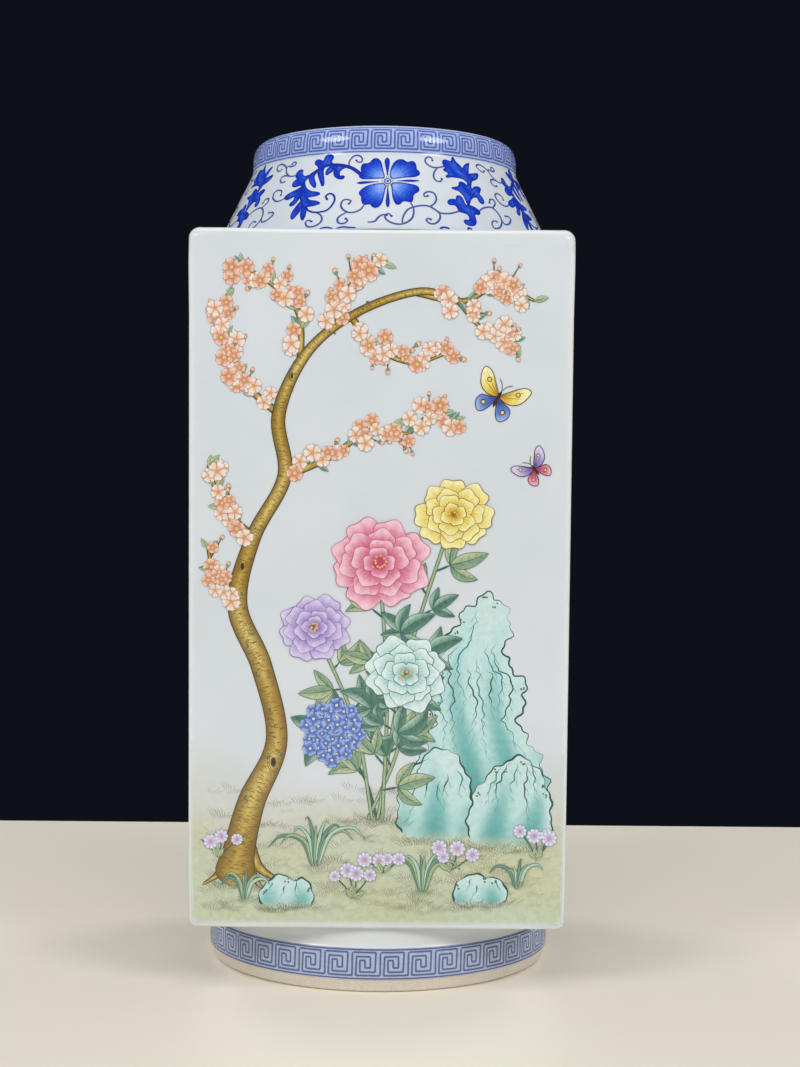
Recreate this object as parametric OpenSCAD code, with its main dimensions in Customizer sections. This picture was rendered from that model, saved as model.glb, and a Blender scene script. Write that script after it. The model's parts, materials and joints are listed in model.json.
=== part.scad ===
// Cong vase: a square porcelain body with a round conical neck above it and a round foot below it.
// The body is slab-built: four mitred wall slabs stand on a floor slab and carry a shoulder slab.
// The neck and the foot are turned rings, luted to the slabs, and strips of clay back the inner seams.
// The origin is at the middle of the foot's resting plane, +Z is up and -Y is the front.

/* [Body] */
// Width across the flats at the shoulder
shoulder_w = 125; // [112:0.5:150]
// How far each wall leans out on its way from the floor to the shoulder
wall_lean = 1; // [0:0.1:3]
// Height of the square body, from the underside of the floor to the top of the shoulder
body_h = 227.5; // [140:0.5:320]
// Thickness of the wall slabs
wall_t = 5; // [4:0.25:7]
// Thickness of the floor slab
floor_t = 5.5; // [4:0.25:9]
// Thickness of the shoulder slab
shoulder_t = 5; // [4:0.25:8]
// Radius of the rounded outer arrises
arris_r = 1.5; // [0.75:0.25:2.25]

/* [Neck] */
// Height of the neck, from the shoulder to the rim
neck_h = 37; // [26:0.5:60]
// How far the foot of the cone stays inside the wall faces
neck_setback = 2.6; // [2.5:0.1:8]
// Outer radius of the collar that carries the rim
collar_r = 46.8; // [36:0.2:50]
// Height of the collar, from the top of the cone to the rim
collar_h = 9.8; // [8:0.1:16]
// Height over which the collar rolls in to the lip
lip_h = 6; // [4:0.1:7]
// Wall thickness of the neck, measured level
neck_t = 4.6; // [3.5:0.1:6.5]
// Radius of the cove where the cone runs out onto the shoulder
neck_cove_r = 1.8; // [1:0.1:2]
// Radius of the hollow between the cone and the collar
collar_cove_r = 5; // [2:0.5:8]
// How far the shoulder slab reaches inside the foot of the neck
neck_ledge = 1.5; // [0:0.25:3]

/* [Foot] */
// Height of the foot, from the resting plane to the underside of the floor
foot_h = 21.5; // [12:0.5:32]
// How far the foot ring stays inside the wall faces
foot_setback = 1.3; // [1.2:0.1:8]
// Wall thickness of the foot ring
foot_t = 6.5; // [5:0.25:10]
// Height of the bare rim that tapers down to the resting plane
bare_rim_h = 4.4; // [2:0.1:6]
// How much the bare rim tapers in
bare_rim_in = 1.1; // [0.5:0.1:2]
// Height of the upper stretch that draws in under the floor
foot_draw_h = 7; // [3:0.5:9]
// How much that stretch draws in
foot_draw_in = 1.2; // [0.8:0.1:3]

/* [Seams] */
// Leg of the clay strips pressed into the upright inner corners
strip_leg = 5; // [3:0.25:6]

/* [Hidden] */
$fn = 96;
arc_steps = 8;
hull_fn = 32;

// Levels
floor_z = foot_h;
wall_z = floor_z + floor_t;
shoulder_top_z = floor_z + body_h;
wall_top_z = shoulder_top_z - shoulder_t;
wall_h = wall_top_z - wall_z;

// The walls lean out from the floor to the shoulder
floor_w = shoulder_w - 2 * wall_lean;
wall_spread = shoulder_w / floor_w;
function spread_at(z) = 1 + (wall_spread - 1) * (z - wall_z) / wall_h;
floor_half = floor_w / 2;
floor_inner_half = floor_half - wall_t;

// Neck: a cone from its foot on the shoulder to the collar
cone_r = shoulder_w / 2 - neck_setback;
cone_h = neck_h - collar_h;
cone_lean = atan((cone_r - collar_r) / cone_h);
toe_h = 0.4;
toe_r = cone_r + neck_cove_r * tan((90 - cone_lean) / 2);
cone_bore_r = cone_r - neck_t * 1.1;
mouth_r = collar_r - neck_t;
lip_crown_r = mouth_r + neck_t * 0.32;
lip_edge_h = 1.4;
shoulder_hole_r = cone_bore_r - neck_ledge;

// The strips along the floor and the shoulder are half as heavy as those in the corners
level_leg = strip_leg / 2;

// Foot ring
foot_r = floor_w / 2 - foot_setback;
foot_bore_r = foot_r - foot_t;
foot_edge_r = 1.2;

glaze_white = "#eef1f2";
biscuit = "#e6dccb";
clay_grey = "#dfe0dc";

// Points of an arc of an ellipse, from one angle to another
function arc(centre, rx, ry, from, to) = [
    for (i = [0:arc_steps])
        let (a = from + (to - from) * i / arc_steps)
        centre + [rx * cos(a), ry * sin(a)]
];

// Outline of one wall slab at the floor, mitred on the diagonals, with its outer arrises rounded
function slab_outline() = let (
    inner = floor_inner_half,
    pivot = floor_half - arris_r
) concat(
    [[-inner, -inner], [inner, -inner]],
    arc([pivot, -pivot], arris_r, arris_r, -45, -90),
    arc([-pivot, -pivot], arris_r, arris_r, -90, -135)
);

// One of the four wall slabs: 0 is the front, then anticlockwise seen from above
module wall_slab(side) {
    color(glaze_white)
        translate([0, 0, wall_z])
            rotate([0, 0, 90 * side])
                linear_extrude(height = wall_h, scale = wall_spread)
                    polygon(slab_outline());
}

// Square plate with rounded upright corners; its arrises are rounded at the top or at the bottom
module rounded_plate(width, thickness, round_top) {
    pivot = width / 2 - arris_r;
    ball_z = round_top ? thickness - arris_r : arris_r;
    post_z = round_top ? 0 : arris_r;
    hull()
        for (x = [-pivot, pivot], y = [-pivot, pivot])
            translate([x, y, 0]) {
                translate([0, 0, ball_z])
                    sphere(r = arris_r, $fn = hull_fn);
                translate([0, 0, post_z])
                    cylinder(r = arris_r, h = thickness - arris_r, $fn = hull_fn);
            }
}

module floor_slab() {
    color(glaze_white)
        translate([0, 0, floor_z])
            rounded_plate(floor_w, floor_t, false);
}

module shoulder_slab() {
    cut = 1;
    color(glaze_white)
        translate([0, 0, wall_top_z])
            difference() {
                rounded_plate(shoulder_w, shoulder_t, true);
                translate([0, 0, -cut])
                    cylinder(r = shoulder_hole_r, h = shoulder_t + 2 * cut);
            }
}

// Half section of the neck, from the toe up the outside, over the lip and down the mouth
function neck_profile() = let (
    toe = [toe_r, toe_h + neck_cove_r],
    hollow = [collar_r + collar_cove_r, cone_h + collar_cove_r * tan(cone_lean / 2)],
    crown = [lip_crown_r, neck_h]
) concat(
    [[toe_r, 0]],
    arc(toe, neck_cove_r, neck_cove_r, 270, 180 + cone_lean),
    arc(hollow, collar_cove_r, collar_cove_r, 180 + cone_lean, 180),
    arc(crown - [0, lip_h], collar_r - lip_crown_r, lip_h, 0, 90),
    arc(crown - [0, lip_edge_h], lip_crown_r - mouth_r, lip_edge_h, 90, 180),
    [[mouth_r, cone_h], [cone_bore_r, 0]]
);

module neck() {
    color(glaze_white)
        translate([0, 0, shoulder_top_z])
            rotate_extrude()
                polygon(neck_profile());
}

// Half section of the foot ring: bare rim, upright band, and the stretch that draws in under the floor
function foot_profile() = let (
    rim_r = foot_r - bare_rim_in
) concat(
    [[foot_bore_r + foot_edge_r, 0]],
    arc([rim_r - foot_edge_r, foot_edge_r], foot_edge_r, foot_edge_r, 270, 360),
    [[foot_r, bare_rim_h]],
    arc([foot_r, foot_h], foot_draw_in, foot_draw_h, 270, 180),
    [[foot_bore_r, foot_h], [foot_bore_r, foot_edge_r]]
);

module foot_ring() {
    color(biscuit)
        rotate_extrude()
            polygon(foot_profile());
}

// Upright strip in one inner corner, from the floor to the shoulder: 0 is front left, then anticlockwise
module seam_strip(corner) {
    inner = floor_inner_half;
    color(clay_grey)
        translate([0, 0, wall_z])
            rotate([0, 0, 90 * corner])
                linear_extrude(height = wall_h, scale = wall_spread)
                    polygon([[-inner, -inner], [strip_leg - inner, -inner], [-inner, strip_leg - inner]]);
}

// Four bevelled strips between the walls and a level plate, each one fitted between two corner strips
module level_strips(plate_z, way) {
    tip_z = plate_z + way * level_leg;
    at_plate = floor_inner_half * spread_at(plate_z);
    at_tip = floor_inner_half * spread_at(tip_z);
    section = [[-at_plate, plate_z], [level_leg - at_plate, plate_z], [-at_tip, tip_z]];
    bevel = (2 * floor_inner_half - strip_leg) * min(spread_at(plate_z), spread_at(tip_z));
    outside = at_plate + level_leg;
    inside = at_plate - 2 * level_leg;
    plan = [
        [outside - bevel, -outside], [bevel - outside, -outside],
        [bevel - inside, -inside], [inside - bevel, -inside]
    ];
    color(clay_grey)
        for (side = [0:3])
            rotate([0, 0, 90 * side])
                intersection() {
                    translate([-at_plate, 0, 0])
                        rotate([90, 0, 90])
                            linear_extrude(height = 2 * at_plate)
                                polygon(section);
                    translate([0, 0, min(plate_z, tip_z) - level_leg])
                        linear_extrude(height = 3 * level_leg)
                            polygon(plan);
                }
}

module floor_seam_strips() {
    level_strips(wall_z, 1);
}

module shoulder_seam_strips() {
    level_strips(wall_top_z, -1);
}

wall_slab(0);  // front_slab
wall_slab(1);  // right_slab
wall_slab(2);  // back_slab
wall_slab(3);  // left_slab
floor_slab();
shoulder_slab();
neck();
foot_ring();
seam_strip(0);  // front_left_seam_strip
seam_strip(1);  // front_right_seam_strip
seam_strip(2);  // back_right_seam_strip
seam_strip(3);  // back_left_seam_strip
floor_seam_strips();
shoulder_seam_strips();
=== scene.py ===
"""Cong vase in porcelain: slab-built body, turned neck and foot, underglaze-blue bands, enamelled gardens."""

import json
import logging
from dataclasses import dataclass, field
from enum import Enum
from functools import partial
from math import atan, atan2, ceil, copysign, cos, degrees, exp, pi, radians, sin, sqrt, tan
from random import Random
from typing import Callable, Iterable, Sequence

import bmesh
import bpy
import numpy as np
from mathutils import Euler, Matrix, Vector
from mathutils.geometry import delaunay_2d_cdt

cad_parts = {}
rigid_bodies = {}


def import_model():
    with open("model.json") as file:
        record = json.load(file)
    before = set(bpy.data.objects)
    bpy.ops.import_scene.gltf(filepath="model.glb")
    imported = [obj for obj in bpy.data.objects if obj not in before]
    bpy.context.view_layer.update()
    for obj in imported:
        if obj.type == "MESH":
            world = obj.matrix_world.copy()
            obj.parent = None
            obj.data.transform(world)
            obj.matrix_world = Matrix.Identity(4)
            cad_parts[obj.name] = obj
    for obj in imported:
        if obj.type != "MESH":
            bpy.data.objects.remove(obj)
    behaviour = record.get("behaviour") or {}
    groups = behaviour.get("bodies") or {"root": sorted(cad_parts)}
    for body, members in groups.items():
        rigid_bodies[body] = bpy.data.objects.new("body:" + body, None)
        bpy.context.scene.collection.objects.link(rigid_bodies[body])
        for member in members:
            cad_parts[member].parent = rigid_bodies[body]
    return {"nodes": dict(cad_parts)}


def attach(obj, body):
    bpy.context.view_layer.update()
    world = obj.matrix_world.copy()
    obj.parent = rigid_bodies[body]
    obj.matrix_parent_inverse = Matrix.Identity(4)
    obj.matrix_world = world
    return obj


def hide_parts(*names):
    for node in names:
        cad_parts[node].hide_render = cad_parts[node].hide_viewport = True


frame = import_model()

logging.basicConfig(level=logging.INFO, format="%(message)s")
log = logging.getLogger("cong_vase")

MM = 0.001
TAU = 2.0 * pi
# Names of the attributes that meshes carry per vertex.
PAINT, THIN_GLAZE_AND_BOUNCE, POOL = "paint", "thin", "pool"
# The mix node has sockets of one name for each kind of data, so those for colours go by number.
MIX_A, MIX_B, MIXED = 6, 7, 2
# The part's material slots.
GLAZED, BARE = "glazed_porcelain", "unglazed_paste"

Array = np.ndarray
Material = bpy.types.Material
Mesh = bpy.types.Mesh
Piece = bpy.types.Object
Socket = bpy.types.NodeSocket
Point = Sequence[float]
Path = Sequence[Point]
Face = Sequence[int]
Colour = tuple[float, float, float, float]
AddNode = Callable[..., Socket]


def linear(hex_colour: str, cover: float = 1.0) -> Colour:
    """Turn an sRGB hex colour into linear light.

    Args:
        hex_colour: Six hex digits.
        cover: Alpha, used as how fully a paint covers the glaze.

    Returns:
        Linear red, green and blue, and the cover.
    """
    parts = [int(hex_colour[i:i + 2], 16) / 255.0 for i in (0, 2, 4)]
    r, g, b = (c / 12.92 if c <= 0.04045 else ((c + 0.055) / 1.055) ** 2.4 for c in parts)
    return r, g, b, cover


class Paint(Enum):
    """A painter's colour, as an sRGB hex value."""

    def tone(self, cover: float = 1.0) -> Colour:
        """Linear colour of the paint with the given cover."""
        return linear(self.value, cover)


class Cobalt(Paint):
    """The blues, as they look under the glaze."""

    BLUE = "1c3fc6"
    DEEP = "1a2fa6"
    LIGHT = "5382ea"
    PALE = "94b2f2"
    MIST = "c3cdec"
    TENDRIL = "364498"
    FRET_LINE = "4d598a"
    FRET_WASH = "b2bfe0"
    RIM_LINE = "465eaa"
    RIM_WASH = "a6b9ee"


Tint = Colour | Paint
Stops = Sequence[tuple[float, Tint]]
Tone = Tint | Callable[[float], Colour]
Width = float | Callable[[float], float]
Wash = Callable[[Array, Array], Array]


def rgba(tint: Tint) -> Colour:
    """Linear colour of a paint, or the colour itself."""
    return tint.tone() if isinstance(tint, Paint) else tint


def mix(a: Tint, b: Tint, t: float) -> Colour:
    """Blend two colours, t from 0 (all a) to 1 (all b)."""
    return tuple(p + (q - p) * t for p, q in zip(rgba(a), rgba(b)))


def ramp(stops: Stops, t: Array) -> Array:
    """Colours of a ramp at places t, one per row; its stops run from low to high."""
    places, tones = zip(*((place, rgba(tint)) for place, tint in stops))
    return np.column_stack([np.interp(t, places, channel) for channel in zip(*tones)])


def smooth(x: float | Array) -> float | Array:
    """Ease from 0 to 1 as x goes from 0 to 1, flat at both ends."""
    x = np.clip(x, 0.0, 1.0)
    return x * x * (3.0 - 2.0 * x)


def add_node(tree: bpy.types.NodeTree, kind: str, inputs: dict | None = None, out: str | int = 0,
             **settings) -> Socket | None:
    """Add a node, set its properties and fill its inputs.

    Args:
        tree: Shader or geometry tree.
        kind: Blender's name of the node type.
        inputs: Input name or number to a value, or to a socket to link from.
        out: Name or number of the output that is wanted.
        **settings: Properties of the node.

    Returns:
        The wanted output, where the node has outputs.
    """
    made = tree.nodes.new(kind)
    for name, value in settings.items():
        setattr(made, name, value)
    for key, value in (inputs or {}).items():
        if isinstance(value, Socket):
            tree.links.new(value, made.inputs[key])
        else:
            made.inputs[key].default_value = value
    return made.outputs[out] if made.outputs else None


def scale_of(size_mm: float) -> float:
    """Scale of a pattern whose features have a real size."""
    return 1.0 / (size_mm * MM)


class Finish:
    """What all finishes share: a node material whose patterns keep to places on the object."""

    name = "finish"

    def material(self) -> Material:
        """Make the node material.

        Returns:
            The material.
        """
        material = bpy.data.materials.new(self.name)
        material.use_nodes = True
        material.node_tree.nodes.clear()
        node = partial(add_node, material.node_tree)
        looks = self.looks(node, node("ShaderNodeTexCoord", out="Object"))
        node("ShaderNodeOutputMaterial", {"Surface": node("ShaderNodeBsdfPrincipled", looks)})
        return material

    @staticmethod
    def blend(node: AddNode, colour: Colour | Socket, *layers: tuple[Socket, Colour | Socket]) -> Socket:
        """Lay colours over a first one, each by its share.

        Args:
            node: Adds a node to the material's tree.
            colour: The first colour.
            *layers: The share and the colour of each layer.

        Returns:
            The blended colour.
        """
        for share, other in layers:
            colour = node("ShaderNodeMix", {"Factor": share, MIX_A: colour, MIX_B: other}, MIXED,
                          data_type="RGBA")
        return colour

    def looks(self, node: AddNode, place: Socket) -> dict[str, Socket | float]:
        """Work out what goes into the shader.

        Args:
            node: Adds a node to the material's tree.
            place: The place on the object.

        Returns:
            Name of each input of the shader to its value or socket.
        """
        raise NotImplementedError


@dataclass(frozen=True)
class GlazedPorcelain(Finish):
    """White porcelain under a clear, faintly blue feldspar glaze, dipped and fired to a mirror gloss.

    To the eye it is a cool white that is whiter where the glaze runs thin over an arris and bluer where it
    pools in a corner, with an orange-peel skin and a few pinholes. On the foot band the same whiter, warmer
    tint is painted bounce light from the table, in the shade under the body. The skin is ten times as deep
    as a real one, because its own depth would not show.
    """

    name: str = GLAZED
    white: str = "dbe1e7"
    thin_glaze_and_bounce_white: str = "eff0ee"
    pooled: str = "c8d3d9"
    roughness: float = 0.09
    ior: float = 1.5
    cloud_mm: float = 34.0
    smear_mm: float = 13.6
    peel_mm: float = 2.4
    peel_depth_mm: float = 0.04
    pit_mm: float = 7.0

    def tint(self, node: AddNode, place: Socket) -> Socket:
        """Work out the colour of the bare glaze.

        Args:
            node: Adds a node to the material's tree.
            place: The place on the vase.

        Returns:
            The colour.
        """
        cloud = node("ShaderNodeTexNoise", {"Vector": place, "Scale": scale_of(self.cloud_mm), "Detail": 3.0})
        # Whiter where the glaze runs thin over an arris; on the foot band, painted bounce light.
        thin, pool = (node("ShaderNodeAttribute", out="Fac", attribute_name=name) for name in (THIN_GLAZE_AND_BOUNCE, POOL))
        drift = node("ShaderNodeMapRange", {"Value": cloud, "From Min": 0.35, "From Max": 0.75,
                                            "To Max": 0.35})
        pooled, whiter = linear(self.pooled), linear(self.thin_glaze_and_bounce_white)
        return self.blend(node, linear(self.white), (drift, pooled), (thin, whiter), (pool, pooled))

    def skin(self, node: AddNode, place: Socket) -> Socket:
        """Work out the normal of the orange-peel skin with its pinholes.

        Args:
            node: Adds a node to the material's tree.
            place: The place on the vase.

        Returns:
            The normal.
        """
        peel = node("ShaderNodeTexNoise", {"Vector": place, "Scale": scale_of(self.peel_mm), "Detail": 2.0})
        pits = node("ShaderNodeTexVoronoi", {"Vector": place, "Scale": scale_of(self.pit_mm)})
        pit = node("ShaderNodeMapRange", {"Value": pits, "From Max": 0.035, "To Min": -1.2, "To Max": 0.0})
        height = node("ShaderNodeMath", {0: peel, 1: pit}, operation="ADD")
        return node("ShaderNodeBump", {"Height": height, "Strength": 0.35,
                                       "Distance": self.peel_depth_mm * MM})

    def looks(self, node: AddNode, place: Socket) -> dict[str, Socket | float]:
        """Bare glaze, its gloss smeared a little.

        Args:
            node: Adds a node to the material's tree.
            place: The place on the object.

        Returns:
            Name of each input of the shader to its value or socket.
        """
        smear = node("ShaderNodeTexNoise", {"Vector": place, "Scale": scale_of(self.smear_mm)})
        gloss = node("ShaderNodeMapRange", {"Value": smear, "From Min": 0.3, "From Max": 0.7,
                                            "To Min": self.roughness * 0.7, "To Max": self.roughness * 1.5})
        return {"Base Color": self.tint(node, place), "Roughness": gloss, "IOR": self.ior,
                "Normal": self.skin(node, place)}


@dataclass(frozen=True)
class PaintedGlaze(GlazedPorcelain):
    """Pigment brushed on the porcelain, read from the painted shape's own colour attribute.

    Cobalt lies under the glaze and shares its gloss. Enamel lies on it, a little duller, with the faint
    unevenness of a loaded brush. Where the paint's cover runs out, the bare glaze shows.
    """

    streak_mm: float = 1.6
    streak: float = 0.12

    def looks(self, node: AddNode, place: Socket) -> dict[str, Socket | float]:
        """Paint over the glaze, streaked by the brush.

        Args:
            node: Adds a node to the material's tree.
            place: The place on the object.

        Returns:
            Name of each input of the shader to its value or socket.
        """
        paint = node("ShaderNodeAttribute", out="Color", attribute_name=PAINT)
        brush = node("ShaderNodeTexNoise", {"Vector": place, "Scale": scale_of(self.streak_mm),
                                            "Detail": 4.0, "Roughness": 0.6})
        load = node("ShaderNodeMapRange", {"Value": brush, "From Min": 0.3, "From Max": 0.7,
                                           "To Min": 1.0 - self.streak, "To Max": 1.0 + self.streak})
        laid = node("ShaderNodeVectorMath", {0: paint, "Scale": load}, operation="SCALE")
        colour = self.blend(node, self.tint(node, place), (paint.node.outputs["Alpha"], laid))
        gloss = node("ShaderNodeMapRange", {"Value": brush, "To Min": self.roughness * 0.7,
                                            "To Max": self.roughness * 1.4})
        return {"Base Color": colour, "Roughness": gloss, "IOR": self.ior, "Normal": self.skin(node, place)}


@dataclass(frozen=True)
class BarePaste(Finish):
    """Fired porcelain paste wiped clean of glaze, where the vase stood in the kiln.

    To the eye it is a matt, sandy cream with fine grit, a rusty flush next to the glaze and grey scuffs.
    The flush along the edge it stands on is partly real and partly painted contact shade.
    """

    name: str = BARE
    cream: str = "e6dfd1"
    # Rust; along the resting edge it is partly painted contact shade.
    flush: str = "bfa68a"
    scuff: str = "cfc5b0"
    roughness: float = 0.78
    grit_mm: float = 0.35
    grit_depth_mm: float = 0.08
    scuff_mm: float = 6.0

    def looks(self, node: AddNode, place: Socket) -> dict[str, Socket | float]:
        """Gritty paste, scuffed and rusty; at its resting edge the rust is partly painted contact shade.

        Args:
            node: Adds a node to the material's tree.
            place: The place on the object.

        Returns:
            Name of each input of the shader to its value or socket.
        """
        grit = node("ShaderNodeTexNoise", {"Vector": place, "Scale": scale_of(self.grit_mm), "Detail": 3.0})
        patch = node("ShaderNodeTexNoise", {"Vector": place, "Scale": scale_of(self.scuff_mm), "Detail": 5.0,
                                            "Roughness": 0.65})
        # The pool attribute holds the rust; at the resting edge it is partly painted contact shade.
        pool = node("ShaderNodeAttribute", out="Fac", attribute_name=POOL)
        worn = node("ShaderNodeMapRange", {"Value": patch, "From Min": 0.52, "From Max": 0.78,
                                           "To Max": 0.55})
        colour = self.blend(node, linear(self.cream), (worn, linear(self.scuff)), (pool, linear(self.flush)))
        speck = node("ShaderNodeMapRange", {"Value": grit, "From Min": 0.3, "From Max": 0.7, "To Min": 0.82,
                                            "To Max": 1.1})
        colour = node("ShaderNodeVectorMath", {0: colour, "Scale": speck}, operation="SCALE")
        bump = node("ShaderNodeBump", {"Height": grit, "Strength": 0.5, "Distance": self.grit_depth_mm * MM})
        return {"Base Color": colour, "Roughness": self.roughness, "Normal": bump}


@dataclass(frozen=True)
class VaseSizes:
    """Sizes of the vase in millimetres, as the solids have them."""

    shoulder_half: float = 62.5
    floor_half: float = 61.5
    floor_z: float = 21.5
    wall_z: float = 27.0
    wall_top_z: float = 244.0
    shoulder_z: float = 249.0
    wall_t: float = 5.0
    arris_r: float = 1.5
    cone_r: float = 59.9
    collar_r: float = 46.8
    kink_z: float = 276.2
    rim_z: float = 286.0
    lip_h: float = 6.0
    lip_edge_h: float = 1.4
    lip_crown: float = 0.32
    neck_t: float = 4.6
    cone_thicker: float = 1.1
    neck_cove_r: float = 1.8
    collar_cove_r: float = 5.0
    toe_h: float = 0.4
    neck_ledge: float = 1.5
    foot_r: float = 60.2
    foot_t: float = 6.5
    bare_rim_h: float = 4.4
    bare_rim_in: float = 1.1
    foot_draw_h: float = 7.0
    foot_draw_in: float = 1.2
    foot_edge_r: float = 1.2

    @property
    def cone_lean(self) -> float:
        """Angle of the cone from upright, in radians."""
        return atan((self.cone_r - self.collar_r) / (self.kink_z - self.shoulder_z))

    @property
    def mouth_r(self) -> float:
        """Inner radius of the collar."""
        return self.collar_r - self.neck_t

    @property
    def crown_r(self) -> float:
        """Radius of the highest line of the lip."""
        return self.mouth_r + self.lip_crown * self.neck_t

    @property
    def cone_bore_r(self) -> float:
        """Inner radius at the foot of the neck."""
        return self.cone_r - self.cone_thicker * self.neck_t

    def half_at(self, z: Array) -> Array:
        """Half width of the body at a height; the plates at both ends are upright."""
        t = np.clip((z - self.wall_z) / (self.wall_top_z - self.wall_z), 0.0, 1.0)
        return self.floor_half + (self.shoulder_half - self.floor_half) * t


SIZES = VaseSizes()


def norms(rows: Array) -> Array:
    """Length of each row."""
    return np.linalg.norm(rows, axis=1)


def lengths(path: Array) -> Array:
    """How far along a path each of its points lies."""
    return np.concatenate([[0.0], np.cumsum(norms(np.diff(path, axis=0)))])


def ways(path: Array) -> Array:
    """Unit direction of a path at each of its points."""
    way = np.gradient(path, axis=0)
    return way / np.maximum(norms(way), 1e-9)[:, None]


def to_left(way: Array) -> Array:
    """Directions turned a quarter to the left."""
    return np.column_stack([-way[:, 1], way[:, 0]])


def at_height(points: Array, z: float) -> Array:
    """Points of a level outline, or of a line, at a height."""
    return np.column_stack([points, np.full(len(points), z)])


def crowded(low: float, high: float, count: int) -> Array:
    """Numbers from low to high that lie closest together at both ends."""
    return (low + high) / 2.0 + (high - low) / 2.0 * np.sin(np.linspace(-pi / 2.0, pi / 2.0, count))


def bell(x: float, wide: float) -> float:
    """A bell curve, 1 at nought, that falls away within a width."""
    return exp(-(x / wide) ** 2)


def between(start: Point, end: Point, steps: int) -> list[Point]:
    """Points between two ends, both left out."""
    return [(start[0] + (end[0] - start[0]) * i / steps, start[1] + (end[1] - start[1]) * i / steps)
            for i in range(1, steps)]


def arc(centre: Point, rx: float, ry: float, start: float, end: float, steps: int) -> list[Point]:
    """Points of an arc of an ellipse between two angles in degrees."""
    turns = [radians(start + (end - start) * i / steps) for i in range(steps + 1)]
    return [(centre[0] + rx * cos(a), centre[1] + ry * sin(a)) for a in turns]


def polar(at: Point, turn: float, far: float, squash: float = 1.0) -> Point:
    """A place at a bearing and distance from another, on a ring that may be squashed."""
    return at[0] + far * cos(turn), at[1] + squash * far * sin(turn)


def bearing(start: Point, end: Point) -> float:
    """Bearing of one place from another."""
    return atan2(end[1] - start[1], end[0] - start[0])


def ring_faces(rings: int, n: int, joined: bool = False) -> list[Face]:
    """Make the quads between neighbouring rings of points.

    Args:
        rings: How many rings.
        n: How many points each has.
        joined: Whether the last ring joins the first.

    Returns:
        Vertex numbers of each quad.
    """
    pairs = [(i * n, (i + 1) % rings * n) for i in range(rings if joined else rings - 1)]
    return [(a + j, a + (j + 1) % n, b + (j + 1) % n, b + j) for a, b in pairs for j in range(n)]


def settle(points: Array) -> Array:
    """Give the body its hand-worked shape: blunted corners, and upper corners that rose a little in the kiln.

    Args:
        points: Places on the body in millimetres, one per row.

    Returns:
        The moved places.
    """
    lift_mm, spread_mm, reach_mm = 0.9, 0.35, 30.0
    top_blunt_mm, low_blunt_mm, blunt_reach_mm = 2.6, 1.3, 9.0
    s = SIZES
    half = s.half_at(points[:, 2])[:, None]
    middle, half_h = (s.shoulder_z + s.floor_z) / 2.0, (s.shoulder_z - s.floor_z) / 2.0
    from_middle = points - (0.0, 0.0, middle)
    size = np.hstack([half, half, np.full_like(half, half_h)])
    away = norms(size - np.abs(from_middle)) / blunt_reach_mm
    extra = np.where(from_middle[:, 2] > 0.0, top_blunt_mm, low_blunt_mm)
    radius = s.arris_r + extra * np.exp(-away ** 2)
    on_box = np.minimum(np.abs(from_middle), size)
    out = on_box - np.minimum(on_box, size - radius[:, None])
    short = np.minimum(1.0, radius / np.maximum(norms(out), 1e-9)) - 1.0
    moved = points + np.sign(from_middle) * out * short[:, None]
    corner = np.clip(np.abs(points[:, 0] * points[:, 1]) / s.shoulder_half ** 2, 0.0, 1.2) ** 4
    amount = corner * smooth((points[:, 2] - (s.shoulder_z - reach_mm)) / reach_mm)
    moved[:, 2] += lift_mm * amount
    moved[:, :2] += np.sign(points[:, :2]) * (spread_mm * amount)[:, None]
    return moved


def store(mesh: Mesh, name: str, values: Array) -> None:
    """Keep one number, or one colour, per vertex as an attribute of a mesh.

    Args:
        mesh: The mesh.
        name: Name of the attribute.
        values: One number or one colour per vertex.
    """
    kind, key = ("FLOAT_COLOR", "color") if values.ndim == 2 else ("FLOAT", "value")
    attribute = mesh.attributes.new(name, kind, "POINT")
    attribute.data.foreach_set(key, values.astype(np.float32).ravel())


def places_of(mesh: Mesh) -> Array:
    """Read the places of a mesh's vertices.

    Args:
        mesh: The mesh.

    Returns:
        The places, one per row.
    """
    flat = np.empty(len(mesh.vertices) * 3)
    mesh.vertices.foreach_get("co", flat)
    return flat.reshape(-1, 3)


def add_object(name: str, data: bpy.types.ID) -> Piece:
    """Make an object at the origin of the scene.

    Args:
        name: Its name.
        data: A mesh, a lamp or a camera.

    Returns:
        The object.
    """
    made = bpy.data.objects.new(name, data)
    bpy.context.scene.collection.objects.link(made)
    return made


def make_solid(name: str, points: Array, faces: Iterable[Face], material: Material) -> Piece:
    """Make an object of points and faces.

    Args:
        name: Its name.
        points: Places in millimetres.
        faces: Vertex numbers of each face, outward.
        material: Its finish.

    Returns:
        The object.
    """
    mesh = bpy.data.meshes.new(name)
    mesh.from_pydata((points * MM).tolist(), [], [tuple(f) for f in faces])
    mesh.update()
    mesh.materials.append(material)
    return add_object(name, mesh)


def smooth_shade(mesh: Mesh, crease_deg: float) -> None:
    """Shade a mesh smooth, with sharp edges where faces turn by more than an angle."""
    mesh.shade_smooth()
    mesh.set_sharp_from_angle(angle=radians(crease_deg))


def set_piece(piece: Piece, slot: str, *nodes: str) -> None:
    """Let a piece ride on the vase's one body and stand for its nodes.

    Args:
        piece: The piece.
        slot: Its material slot; not used.
        *nodes: Nodes that it stands for; paint stands for none.
    """
    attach(piece, "root")
    if nodes:
        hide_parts(*nodes)
    log.info("piece %s: %d faces, stands for %s", piece.name, len(piece.data.polygons),
             ", ".join(nodes) or "paint")


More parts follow.
